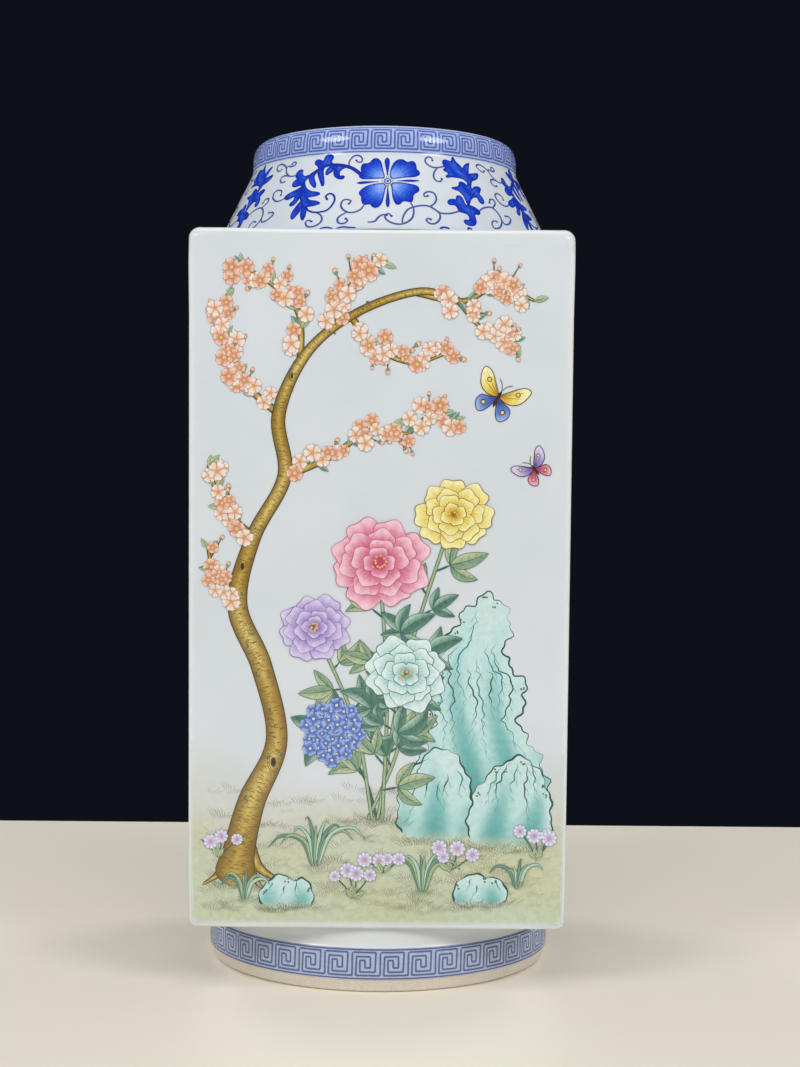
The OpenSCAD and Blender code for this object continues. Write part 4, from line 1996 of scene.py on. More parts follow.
@dataclass
class GardenSheet(Painting):
    """The sheet of a garden on one side of the body, its random draws and the marks of its small units."""

    side: Side = field(kw_only=True)
    plan: GardenPlan = field(kw_only=True)
    box: UnitBox = field(kw_only=True)
    level_mm: float = WALL_LEVEL_MM
    step_mm: float = 1.6
    paint_half: float = 57.0
    paint_top: float = 220.0
    tuft_half: float = 54.0

    def __post_init__(self) -> None:
        """Start an empty garden."""
        self.draw = Random(self.plan.seed)
        self.vary, self.pick = self.draw.uniform, self.draw.choice
        self.washes = SMALL_SHEET()
        self.leaves = 0
        self.marks: list[tuple[float, float, float, float, int, float]] = []

    def near(self, at: Point, spread: float) -> Point:
        """A place near another, never further off than a little over the spread."""
        across, up = (max(-1.3, min(1.3, self.draw.gauss(0.0, 1.0))) * spread for _ in range(2))
        return at[0] + across, at[1] + up

    def mark(self, unit: Unit, at: Point, turn: float, size: float, level: float, step: float = 3.0) -> None:
        """Mark a place for a small unit; each next one of a dozen lies over the last.

        Args:
            unit: The unit.
            at: Its place; one too near the edge of the side is passed over.
            turn: How far it is turned.
            size: How many times its own size.
            level: Level of the lowest of the dozen.
            step: Levels between one and the next.
        """
        half = self.tuft_half if unit in (Unit.TUFT, Unit.TUFT_GREEN) else self.paint_half
        if abs(at[0]) < half and at[1] < self.paint_top:
            self.marks.append((*at, turn, size, unit.value, level + step * (len(self.marks) % 12)))

    def scatter(self, unit: Unit, at: Point, size: float, level: float, step: float = 3.0) -> None:
        """Mark a place for a unit that may lie any way round."""
        self.mark(unit, at, self.vary(0.0, TAU), self.vary(0.8, 1.2) * size, level, step)

    def moss(self, at: Point, level: float) -> None:
        """Dot three spots of moss close together."""
        for _ in range(3):
            self.scatter(Unit.MOSS, self.near(at, 0.7), 0.6, level, 0.1)

    def grass(self, at: Point, count: int, level: float) -> None:
        """Grow a row of tufts over the foot of what stands at a place.

        Args:
            at: The place.
            count: How many tufts.
            level: Their level.
        """
        for k in range(count):
            spot = self.near((at[0] + 1.9 * (k - (count - 1) / 2), at[1] - 1.2), 0.8)
            unit = Unit.TUFT_GREEN if k % 2 else Unit.TUFT
            self.mark(unit, spot, self.draw.gauss(0.0, 0.15), self.vary(0.75, 1.05), level, 0.1)

    def leaf(self, root: Point, tip: Point, wide: float, shades: Shades, level: float) -> None:
        """Paint a leaf with a bent spine, in two greens, veined and inked; each next one lies over the last.

        Args:
            root: Where it springs from.
            tip: Its point.
            wide: Its width.
            shades: Its greens.
            level: Lowest level of the leaves about it.
        """
        level += 0.4 * (self.leaves % 80)
        self.leaves += 1
        along = np.array(tip) - root
        side = np.array([-along[1], along[0]])
        across = side / np.linalg.norm(side)
        k = np.linspace(0.0, 1.0, 17)
        spine = root + np.outer(k, along) + np.outer(self.vary(-0.7, 0.7) * k * (1.0 - k), side)
        swell = wide * 0.5 * np.sin(pi * k ** 0.8) ** 0.85
        edge = np.vstack([spine - np.outer(swell, across), (spine + np.outer(swell, across))[-2:0:-1]])
        stops = ((-0.5, shades.body), (-0.04, shades.root), (0.04, shades.body), (0.5, shades.edge))

        def wash(at: Array, deep_in: Array) -> Array:
            """One half of the leaf paler than the other, deepest along the spine."""
            nearest = gaps(at, spine).argmin(axis=1)
            return ramp(stops, np.sum((at - spine[nearest]) * across, axis=1) / wide)

        self.area(edge, wash, level, 1.1)
        self.rim(edge, 0.18, shades.line, level + 0.2)
        self.stroke(spine, lambda x: 0.32 * (1.1 - 0.8 * x), shades.line, level + 0.3)
        for i in (4, 7, 10, 12):
            for sign in (1, -1):
                vein = [spine[i], spine[i + 2] + sign * across * swell[i + 2] * 0.86]
                self.stroke(vein, 0.13, shades.line, level + 0.25)


@dataclass
class Rockery(GardenSheet):
    """Paints garden rocks: a tall one of three lobes, and low stones."""

    rock_lobes: tuple[Path, ...] = (
        ((-17, -4), (-22, 12), (-17, 28), (-20, 42), (-13, 55), (-6, 66), (2, 70), (8, 61), (6, 50), (13, 40),
         (11, 28), (18, 16), (20, 0), (3, -8)),
        ((-27, -8), (-28, 4), (-22, 15), (-14, 20), (-7, 14), (-4, 2), (-6, -9), (-17, -12)),
        ((-5, -10), (-4, 4), (4, 14), (13, 17), (20, 8), (21.5, -6), (15, -13), (3, -13)))
    stone: Path = ((-8, -3), (-6.5, 3), (-2, 6), (3, 4.5), (6, 5), (9, 1), (9, -3), (0, -5))

    @staticmethod
    def crag(edge: Array, phase: float) -> Array:
        """Make a closed outline craggy with two runs of whole waves.

        Args:
            edge: Points of the outline.
            phase: Where the waves start.

        Returns:
            The moved points.
        """
        ahead = np.roll(edge, -1, axis=0)
        along, way = np.cumsum(norms(ahead - edge)), ahead - np.roll(edge, 1, axis=0)
        turn, long, tall = TAU * along / along[-1], along[-1], np.ptp(edge[:, 1])
        waves = np.sin(round(long / 9.0) * turn + phase) + 0.6 * np.sin(round(long / 4.1) * turn - phase)
        return edge - to_left(way) / norms(way)[:, None] * ((0.2 + 0.009 * tall) * waves)[:, None]

    def rock(self, outline: Path, level: float) -> None:
        """Paint a lobe of a garden rock: pale turquoise that deepens downwards, inked and folded.

        Args:
            outline: Its outline.
            level: Level of the lobe.
        """
        phase = self.vary(0.0, TAU)
        edge = self.crag(curve(outline, 0.8, True), phase)
        low, high, middle = edge[:, 1].min(), edge[:, 1].max(), float(edge[:, 0].mean())
        tall = high - low
        grass = np.array(mix(Enamel.GROUND_LOW, Enamel.GROUND, 0.5))
        stops = ((0.0, Enamel.ROCK_PALE.tone(0.9)), (0.35, Enamel.AQUA.tone(0.95)), (0.68, Enamel.ROCK),
                 (1.0, Enamel.ROCK_DEEP))

        def wash(at: Array, deep_in: Array) -> Array:
            """Pale along the upper edge, deep at the foot and in the folds, and lost in the grass below.

            Args:
                at: Places on the sheet.
                deep_in: Their distances from the outline.

            Returns:
                Their colours.
            """
            fold = 0.17 * np.sin(at[:, 0] * 0.5 + 1.7 * np.sin(at[:, 1] * 0.08 + phase))
            tones = ramp(stops, 0.1 + 0.72 * ((high - at[:, 1]) / tall) + fold - 0.3 * np.exp(-deep_in / 2.2))
            return grass + (tones - grass) * smooth((at[:, 1] - low) / (0.2 * tall))[:, None]

        self.area(edge, wash, level, 1.4)
        rolled = np.roll(edge, -int(edge[:, 1].argmin()), axis=0)
        drawn = rolled[rolled[:, 1] > low + 0.14 * tall]
        self.stroke(drawn, lambda t: 0.42 + 0.2 * sin(17 * t + phase) + 0.14 * sin(41 * t), Enamel.TEAL_INK,
                    level + 2.0)
        self.folds(edge, np.arange(high - 0.05 * tall, low + 0.2 * tall, -1.0), level + 1.0)
        for x, v in drawn[::3]:
            if v > low + 0.5 * tall and self.draw.random() < 0.2:
                self.moss((x + 0.1 * (middle - x), v - 1.6), level + 2.0)
        self.grass((middle, low + 0.05 * tall), int(np.ptp(edge[:, 0]) / 2.1), level + 1.5)

    def folds(self, edge: Array, heights: Array, level: float) -> None:
        """Ink the folds of a rock, which follow its sides, with short hatches that run out of them.

        Args:
            edge: The rock's outline.
            heights: Heights along a fold, downwards.
            level: Level of the lines.
        """
        rows = [(edge[np.abs(edge[:, 1] - v) < 0.9, 0], v) for v in heights]
        count = max(3, int(np.ptp(edge[:, 0]) / 5.0))
        for k in range(count):
            place = -0.78 + 1.56 * (k + self.vary(0.2, 0.8)) / count
            first, last = (int(len(rows) * self.vary(*share)) for share in ((0.02, 0.4), (0.55, 1.0)))
            line = [((r.min() + r.max()) / 2 + (place + 0.05 * sin(v / 3.0 + k)) * np.ptp(r) / 2, v)
                    for r, v in rows[first:last]]
            if len(line) < 4:
                continue
            self.stroke(line, lambda t: 0.06 + 0.42 * sin(pi * min(1.0, t + 0.1)) ** 2,
                        Enamel.TEAL_INK if k % 2 else Enamel.ROCK_DEEP, level)
            for x, v in line[2::3]:
                way = copysign(1.0, place) * self.vary(0.5, 1.6)
                hatch = [(x, v), (x + 0.6 * way, v - 1.2), (x + way, v - 2.6)]
                self.stroke(hatch, lambda t: 0.3 * (1.05 - t), Enamel.ROCK_DEEP, level)

    def rockery(self) -> None:
        """Paint the rock's three lobes, mirrored and sized as the plan says, and the stones in front."""
        flip, across, up, size = self.plan.rock
        for k, lobe in enumerate(self.rock_lobes):
            self.rock([(across + flip * size * x, up + size * y) for x, y in lobe], Level.ROCK + 6.0 * k)
        for x0, y0 in self.plan.stones:
            self.rock([(x0 + x, y0 + y) for x, y in self.stone], Level.STONE)


@dataclass
class FloweringTree(GardenSheet):
    """Paints the flowering tree; a branch of it has its line and its width at the trunk."""

    trunk: Path = ((-47, 12), (-45, 24), (-41, 40), (-33, 60), (-38, 84), (-46, 104), (-41, 126), (-31, 146),
                   (-33, 166), (-24, 186), (-8, 199), (12, 206), (26, 203))
    trunk_foot: Point = (-46, 12.5)
    roots: tuple[Path, ...] = (((-46, 26), (-51, 17), (-57, 12.5)), ((-43, 27), (-38, 18), (-29, 13)),
                               ((-43, 24), (-40, 15), (-36, 10.5)))
    branches: tuple[tuple[Path, float], ...] = (
        (((-41, 126), (-51, 136), (-56, 150)), 2.4), (((-31, 146), (-17, 152), (-3, 161), (9, 160)), 2.4),
        (((-33, 166), (-45, 177), (-51, 191), (-50, 205)), 2.2),
        (((-26, 183), (-27, 199), (-37, 209), (-46, 214)), 2.0),
        (((-10, 198), (-2, 188), (10, 183), (21, 186)), 1.9),
        (((10, 206), (26, 203), (38, 208), (50, 203)), 2.0),
        (((24, 204), (33, 194), (44, 190)), 1.4), (((-46, 104), (-53, 112), (-56, 124)), 2.0),
        (((-18, 192), (-10, 208), (2, 216)), 1.5), (((9, 160), (16, 166), (24, 164)), 1.1))
    twig_half: float = 56.0
    twig_top: float = 218.0

    def limb(self, path: Path, wide: Callable[[float], float], level: float) -> Array:
        """Paint a limb in gold enamel, brown at its edges and inked round.

        Args:
            path: Its middle line.
            wide: Its width along it.
            level: Its level.

        Returns:
            Points along it.
        """
        line = curve(path, 1.0)
        self.stroke(line, lambda t: wide(t) + 0.45, Enamel.INK, level)
        self.stroke(line, wide, lambda t: mix(Enamel.BARK_LIGHT, Enamel.BARK, 0.5 + 0.5 * sin(31.0 * t)),
                    level + 1.0, Enamel.BARK_DARK)
        return line

    def tree(self) -> None:
        """Paint the flowering tree, mirrored and moved as the plan says: roots, branches and scaly trunk."""
        flip, shift = self.plan.tree

        def put(path: Path) -> list[Point]:
            """A path of the tree on this side."""
            return [(shift + flip * x, y) for x, y in path]

        def wide(t: float) -> float:
            """Width along the trunk, with lumps."""
            return (9.5 - 7.9 * t ** 0.8) * (1.0 + 0.09 * sin(21.0 * t)) + 5.0 * bell(t, 0.035)

        for k, path in enumerate(self.roots):
            self.limb(put(path), lambda t: 5.4 * (1.0 - t) ** 1.2 + 0.3, Level.ROOT + 0.7 * k)
        for path, base_w in self.branches:
            self.branch(put(path), base_w)
        line = self.limb(put(self.trunk), wide, Level.TRUNK)
        ahead, last = ways(line), len(line) - 1
        for i, (at, way, across) in enumerate(zip(line, ahead, to_left(ahead))):
            if 0 < i < last:
                self.bark(at, way, across, wide(i / last), i % 67 == 45)
        self.grass(*put([self.trunk_foot]), 12, Level.BLOSSOM)

    def bark(self, at: Point, way: Point, across: Point, w: float, knotty: bool) -> None:
        """Paint what a millimetre of the trunk carries: scales, and here and there a knot or some moss.

        Args:
            at: Its middle.
            way: Direction of the trunk.
            across: Direction over it.
            w: Its width.
            knotty: Whether a knot is due here, where the trunk is wide enough.
        """
        brown, tilt = Enamel.BARK_DARK, degrees(atan2(way[1], way[0]))
        for _ in range(int(w / 1.6)):
            spot = at + across * self.vary(-0.42, 0.42) * w + way * self.vary(-0.8, 0.8)
            r = self.vary(0.5, 1.0)
            self.stroke(arc(spot, r, r, tilt - 70, tilt + 70, 4), 0.19, brown, Level.BARK)
        if w > 3.5 and knotty:
            knot = at + across * self.vary(-0.12, 0.12) * w
            stops = ((1.0, brown), (0.6, Enamel.INK), (0.0, Enamel.INK))
            self.fill(dot(knot, 0.13 * w, 0.24 * w, 16), knot, stops, Level.KNOT)
            for reach in (0.2, 0.27):
                self.stroke(arc(knot, reach * w, 1.7 * reach * w, 100, 260, 8), 0.2, brown, Level.KNOT)
        if self.draw.random() < 0.07:
            self.moss(at + across * w * self.pick((-0.22, 0.22)), Level.KNOT)

    def branch(self, path: Path, base_w: float) -> None:
        """Paint a branch with twigs, and set blossoms, buds and leaves along it.

        Args:
            path: Its line.
            base_w: Width where it leaves the trunk.
        """
        line = self.limb(path, lambda t: base_w * (1.0 - 0.78 * t) + 0.1, Level.BRANCH)
        n = len(line)
        for _ in range(int(n / 6.5)):
            i = self.draw.randrange(n // 4, n - 1)
            way = bearing(line[i - 1], line[i + 1]) + self.pick((-1, 1)) * self.vary(0.5, 1.1)
            end = polar(line[i], way, self.vary(4.0, 8.5))
            if abs(end[0]) < self.twig_half and end[1] < self.twig_top:
                middle = self.near((line[i] + end) / 2, 0.5)
                twig = curve([line[i], middle, end], 0.9)
                self.stroke(twig, lambda t: 0.75 - 0.4 * t, Enamel.BARK_DARK, Level.TWIG)
                self.mark(Unit.BUD, end, way - pi / 2, self.vary(0.8, 1.15), Level.STEM)
                self.scatter(Unit.BLOSSOM, self.near(middle, 0.9), 0.85, Level.STEM)
        for i in range(n // 6, n - 1, 7):
            for _ in range(self.draw.randint(2, 4)):
                unit = self.pick((Unit.BLOSSOM, Unit.BLOSSOM_PALE, Unit.BLOSSOM_PALE))
                self.scatter(unit, self.near(line[i], 2.5), 1.0, Level.BLOSSOM)
            for _ in range(2):
                j = min(n - 2, i + self.draw.randint(2, 5))
                way = bearing(line[j], line[j + 1]) + self.pick((-1, 1)) * self.vary(0.4, 1.2)
                self.mark(self.pick((Unit.LEAF, Unit.LEAF_SAGE)), line[j], way - pi / 2, self.vary(0.75, 1.1),
                          Level.TWIG_LEAF, 0.2)


@dataclass
class Shrub(GardenSheet):
    """Paints large blooms on stems from one root.

    A ring of a peony has its count of petals, their reach, their start and half their angle; one of a
    chrysanthemum its count and their reach.
    """

    spray_half: float = 46.0
    bloom_squash: float = 0.9
    peony_rings: Path = ((8, 1.0, 0.30, 0.52), (7, 0.78, 0.22, 0.56), (5, 0.56, 0.12, 0.72),
                         (4, 0.34, 0.04, 0.85))
    mum_rings: Path = ((22, 1.0), (18, 0.8), (14, 0.6), (10, 0.42), (6, 0.24))
    mum_sides: Path = ((0.7, 0.35), (1.0, 0.72), (0.7, 0.93))
    stamens: int = 11

    def spray(self, at: Point, turn: float, long: float, level: float) -> None:
        """Paint a spray of three leaves on a stalk's end.

        Args:
            at: The stalk's end.
            turn: Bearing of the middle leaf.
            long: Its length.
            level: Lowest level of the leaves.
        """
        shades = self.pick((PINE_LEAF, PINE_LEAF, SAGE_LEAF))
        for lean, size in ((-0.8, 0.78), (0.8, 0.78), (0.0, 1.0)):
            tip = polar(at, turn + lean + self.vary(-0.12, 0.12), long * size)
            self.leaf(at, tip, 0.38 * long * size, shades, level)

    def petal(self, at: Point, turn: float, spread: float, long: float, short: float, shades: Shades,
              level: float) -> None:
        """Paint one ruffled petal of a large bloom.

        Args:
            at: Heart of the bloom.
            turn: Bearing of the petal.
            spread: Half its angle.
            long: Reach of its edge.
            short: Where it starts.
            shades: Its colours.
            level: Its level.
        """
        t = np.linspace(-1.0, 1.0, 21)
        phase = self.vary(0.0, TAU)
        reach = long * (1.0 - 0.2 * t ** 2 - 0.16 * t ** 6) * (1.0 + 0.045 * np.sin(6.5 * t + phase))
        heart, squash = np.array(at), (1.0, self.bloom_squash)

        def ray(angle: Array, far: Array | float) -> Array:
            """Places at angles and distances from the heart."""
            return heart + np.column_stack([np.cos(angle) * far, np.sin(angle) * far]) * squash

        def wash(p: Array, deep_in: Array) -> Array:
            """Deep at the root, pale at the ruffled edge, combed along the petal.

            Args:
                p: Places on the sheet.
                deep_in: Their distances from the outline; not used.

            Returns:
                Their colours.
            """
            way = (p - heart) / squash
            comb = 0.05 * np.sin(np.arctan2(way[:, 1], way[:, 0]) * 23.0 + phase)
            return ramp(shades.stops(), (norms(way) - short) / (long - short) + comb)

        outer = ray(turn + spread * t, reach)
        inner = ray(turn + spread * np.array([0.55, 0.0, -0.55]), short)
        self.area(np.vstack([outer, inner]), wash, level, 1.1)
        line = shades.line.tone(0.95)
        self.stroke(outer, lambda x: 0.2 + 0.07 * sin(7.0 * x + phase), line, level + 0.5)
        for flank in ((outer[-1], inner[0]), (outer[0], inner[2])):
            self.stroke(flank, 0.15, line, level + 0.5)
        for x in (-0.6, -0.3, 0.0, 0.3, 0.6):
            far = np.linspace(short + 0.25 * (long - short), 0.82 * long, 5)
            vein = ray(np.full(5, turn + spread * x), far)
            self.stroke(vein, 0.11, mix(shades.body, line, 0.5), level + 0.3)

    def peony(self, at: Point, r: float, shades: Shades, level: float) -> None:
        """Paint a full bloom: rings of petals that lap over each other round a heart of stamens.

        Args:
            at: Its heart.
            r: Its radius.
            shades: Its colours.
            level: Its lowest level.
        """
        start = self.vary(0.0, TAU)
        for ring, (count, long, short, spread) in enumerate(self.peony_rings):
            order = list(range(count))
            self.draw.shuffle(order)
            for place, k in enumerate(order):
                turn = start + 0.4 * ring + TAU * k / count + self.vary(-0.08, 0.08)
                size = r * long * self.vary(0.92, 1.06)
                self.petal(at, turn, spread, size, r * short, shades, level + 8.0 * ring + 0.9 * place)
        self.spot(at, 0.13 * r, 0.12 * r, shades.root, shades.line, level + 30.0, 12)
        for k in range(self.stamens):
            stamen = polar(at, TAU * k / self.stamens + start, r * self.vary(0.05, 0.17), self.bloom_squash)
            self.spot(stamen, 0.42, 0.42, Enamel.AMBER, Enamel.YELLOW, level + 32.0)

    def mum(self, at: Point, r: float, shades: Shades, level: float) -> None:
        """Paint a bloom of many narrow petals, ring over ring, each ring from one petal.

        Args:
            at: Its heart.
            r: Its radius.
            shades: Its colours.
            level: Its lowest level.
        """
        for k, (count, long) in enumerate(self.mum_rings):
            petal, reach = SMALL_SHEET(), r * long
            edge, heart = petal_outline(self.mum_sides, 1.0, r * 0.115, reach), np.array((0.0, 0.6 * reach))
            line = ((1.0, shades.line), (0.0, shades.line))
            petal.fill(heart + (edge - heart) * (1.3, 1.03), heart, line, 0.0)
            petal.fill(edge, heart, ((1.0, shades.body), (0.6, shades.edge), (0.0, shades.edge)), 0.6)
            ring = self.box.ring_of(petal, count, 0.04)
            self.lay(ring, at, 0.37 * k + self.vary(0.0, 0.5), level + 2.5 * k)

    def shrub(self) -> None:
        """Grow stems from the root to every bloom, with sprays of leaves, and open the blooms."""
        root = self.plan.root
        blooms = [(self.peony, *b) for b in self.plan.peonies] + [(self.mum, *b) for b in self.plan.mums]
        for rank, (_, at, _, _) in enumerate(blooms):
            bow, level = self.vary(-5.0, 5.0), Level.STEM + 0.5 * rank
            line = bowed((root[0] + 1.6 * (rank - len(blooms) / 2), root[1]), at, bow)
            self.stroke(line, 1.2, Enamel.PINE_DEEP, level)
            self.stroke(line, 0.75, Enamel.SAGE, level + 0.25)
            sprays = max(2, int(0.9 * len(line) / 11.0))
            for k in range(sprays):
                i = int((0.22 + 0.66 * k / sprays) * len(line))
                way = bearing(line[i], line[i + 1]) + (1 if (k + rank) % 2 else -1) * self.vary(0.7, 1.2)
                end = polar(line[i], way, self.vary(3.0, 6.0))
                if abs(end[0]) < self.spray_half:
                    self.stroke([line[i], end], 0.7, Enamel.PINE_DEEP, Level.SPRAY_STALK)
                    self.spray(end, way, self.vary(9.5, 13.5), Level.LEAF)
        self.grass(root, 8, Level.ROOT_GRASS)
        for rank, (open_bloom, at, r, shades) in enumerate(blooms):
            open_bloom(at, r, shades, Level.BLOOM + 3.0 * rank)


@dataclass
class Border(GardenSheet):
    """Paints bamboo, clumps of blades, round heads of florets, and daisies."""

    florets: int = 38
    cane_w: float = 2.6
    cane_joint: int = 16
    cane_bare: float = 70.0

    def blades(self, at: Point, count: int, long: float) -> None:
        """Paint a clump of long arching blades.

        Args:
            at: Foot of the clump.
            count: How many blades.
            long: Length of the longest.
        """
        x, y = at
        for k in range(count):
            lean = -1.0 + 2.0 * (k + 0.5) / count + self.vary(-0.12, 0.12)
            reach = long * self.vary(0.65, 1.0)
            line = curve([(x + 0.25 * (k - count / 2), y), (x + lean * 0.3 * reach, y + 0.55 * reach),
                          (x + lean * 0.75 * reach, y + reach * (0.9 - 0.25 * abs(lean))),
                          (x + lean * 1.05 * reach, y + reach * (0.88 - 0.5 * abs(lean)))], 0.9)
            green = (Enamel.PINE, Enamel.SAGE, Enamel.MINT)[k % 3]
            for least, swell, tint, over in ((0.2, 1.15, Enamel.PINE_DEEP, 0.0), (0.02, 0.95, green, 0.4)):
                self.stroke(line, lambda t: least + swell * sin(pi * (0.12 + 0.88 * t)), tint,
                            Level.BLADE + over + 0.8 * k)
        for _ in range(4):
            self.mark(Unit.TUFT_GREEN, self.near((x, y - 0.8), 1.6), 0.0, 0.7, Level.FRONT_GRASS, 0.2)

    def bamboo(self, path: Path) -> None:
        """Paint a bamboo cane with its rings, and leaves hanging from the upper ones.

        Args:
            path: Its line, upwards.
        """
        wide, line = self.cane_w, curve(path, 0.95)
        self.stroke(line, wide + 0.4, Enamel.PINE_DEEP, Level.CANE)
        self.stroke(line, wide, Enamel.MINT, Level.CANE + 0.5, Enamel.PINE)
        for x, y in line[self.cane_joint // 2:-1:self.cane_joint]:
            ring = [(x - 0.62 * wide, y), (x, y - 0.3), (x + 0.62 * wide, y)]
            self.stroke(ring, 0.5, Enamel.PINE_DEEP, Level.CANE_RING)
            for _ in range(self.draw.randint(4, 6) if y >= self.cane_bare else 0):
                side = self.pick((-1, 1))
                way = -pi / 2 + side * self.vary(0.3, 1.2)
                root = (x + side * self.vary(1.5, 8.0), y + self.vary(-1.0, 5.0))
                tip = polar(root, way, self.vary(10.0, 16.0))
                if max(abs(root[0]), abs(tip[0])) < self.paint_half:
                    self.stroke([(x, y), root], 0.4, Enamel.PINE_DEEP, Level.CANE_RING)
                    self.leaf(root, tip, 2.7, self.pick((PINE_LEAF, SAGE_LEAF)), Level.BRANCH)

    def cluster(self, at: Point, r: float) -> None:
        """Paint a round head of small blue florets over a few leaves, on a stem from the root.

        Args:
            at: Its middle.
            r: Its radius.
        """
        self.stroke(bowed(self.plan.root, at, 3.0), 1.0, Enamel.PINE_DEEP, Level.CLUSTER_STALK)
        for k in range(5):
            turn = TAU * k / 5 + 0.3
            self.leaf(polar(at, turn, 0.5 * r), polar(at, turn, 1.5 * r), 0.5 * r, PINE_LEAF, Level.LEAF)
        for k in range(self.florets):
            floret = polar(at, 2.4 * k, r * sqrt((k + 0.5) / self.florets))
            self.scatter(Unit.FLORET, floret, 1.1, Level.BLOOM)

    def daisies(self) -> None:
        """Grow daisies on thin stalks at places on the ground."""
        for at in self.plan.daisies:
            for k in range(4):
                head = (at[0] + 3.6 * (k - 1.5) + self.draw.gauss(0.0, 0.7), at[1] + self.vary(4.0, 9.0))
                self.stroke(bowed(at, head, 0.5), 0.4, Enamel.PINE_DEEP, Level.STALK)
                self.scatter(Unit.DAISY, head, 0.85, Level.BLADE)
                self.mark(Unit.LEAF_SAGE, self.near(at, 0.3), self.vary(-1.2, 1.2), self.vary(0.6, 0.9),
                          Level.STALK)


@dataclass
class Butterflies(GardenSheet):
    """Paints butterflies; a wing has its eye and its outline."""

    lower_wing: tuple[Point, Path] = ((0.42, -0.42), (
        (0.04, 0.0), (0.3, -0.1), (0.62, -0.2), (0.7, -0.5), (0.5, -0.78), (0.28, -0.7), (0.1, -0.35)))
    upper_wing: tuple[Point, Path] = ((0.62, 0.45), (
        (0.04, 0.05), (0.3, 0.4), (0.7, 0.78), (1.0, 0.8), (0.98, 0.45), (0.78, 0.1), (0.4, -0.06)))

    def butterfly(self, at: Point, size: float, turn: float, upper: Shades, lower: Shades) -> None:
        """Paint a butterfly from above, its wings edged and spotted.

        Args:
            at: Its middle.
            size: Reach of an upper wing.
            turn: Which way it flies.
            upper: Colours of its upper wings.
            lower: Colours of its lower wings.
        """
        c, s, ink = cos(turn) * size, sin(turn) * size, Enamel.INK

        def put(x: float, y: float) -> Point:
            """A place on the butterfly."""
            return at[0] + c * x - s * y, at[1] + s * x + c * y

        middle = put(0.0, 0.0)
        for rank, (shades, (eye, outline)) in enumerate(((lower, self.lower_wing), (upper, self.upper_wing))):
            level = Level.STEM + 3.0 * rank

            def wash(p: Array, deep_in: Array) -> Array:
                """Pale along the edge, deeper towards the body."""
                return ramp(shades.stops(), norms(p - middle) / (1.1 * size))

            for sign in (1, -1):
                edge = curve([put(sign * x, y) for x, y in outline], 0.5, True)
                self.area(edge, wash, level, 0.8)
                self.rim(edge, 0.26, ink, level + 1.0)
                for r, tint in ((0.10, ink), (0.065, Enamel.YELLOW)):
                    self.spot(put(sign * eye[0], eye[1]), r * size, r * size, tint, tint, level + 1.5 - r, 12)
                for x, y in outline[2:5]:
                    self.stroke([middle, put(0.85 * sign * x, 0.85 * y)], 0.13, ink, level + 0.5)
        self.stroke([put(0.0, -0.42), middle, put(0.0, 0.3)], 0.12 * size, ink, Level.FEELER)
        for sign in (1, -1):
            feeler = curve([put(0.0, 0.28), put(sign * 0.1, 0.5), put(sign * 0.3, 0.68)], 0.5)
            self.stroke(feeler, 0.2, ink, Level.FEELER)


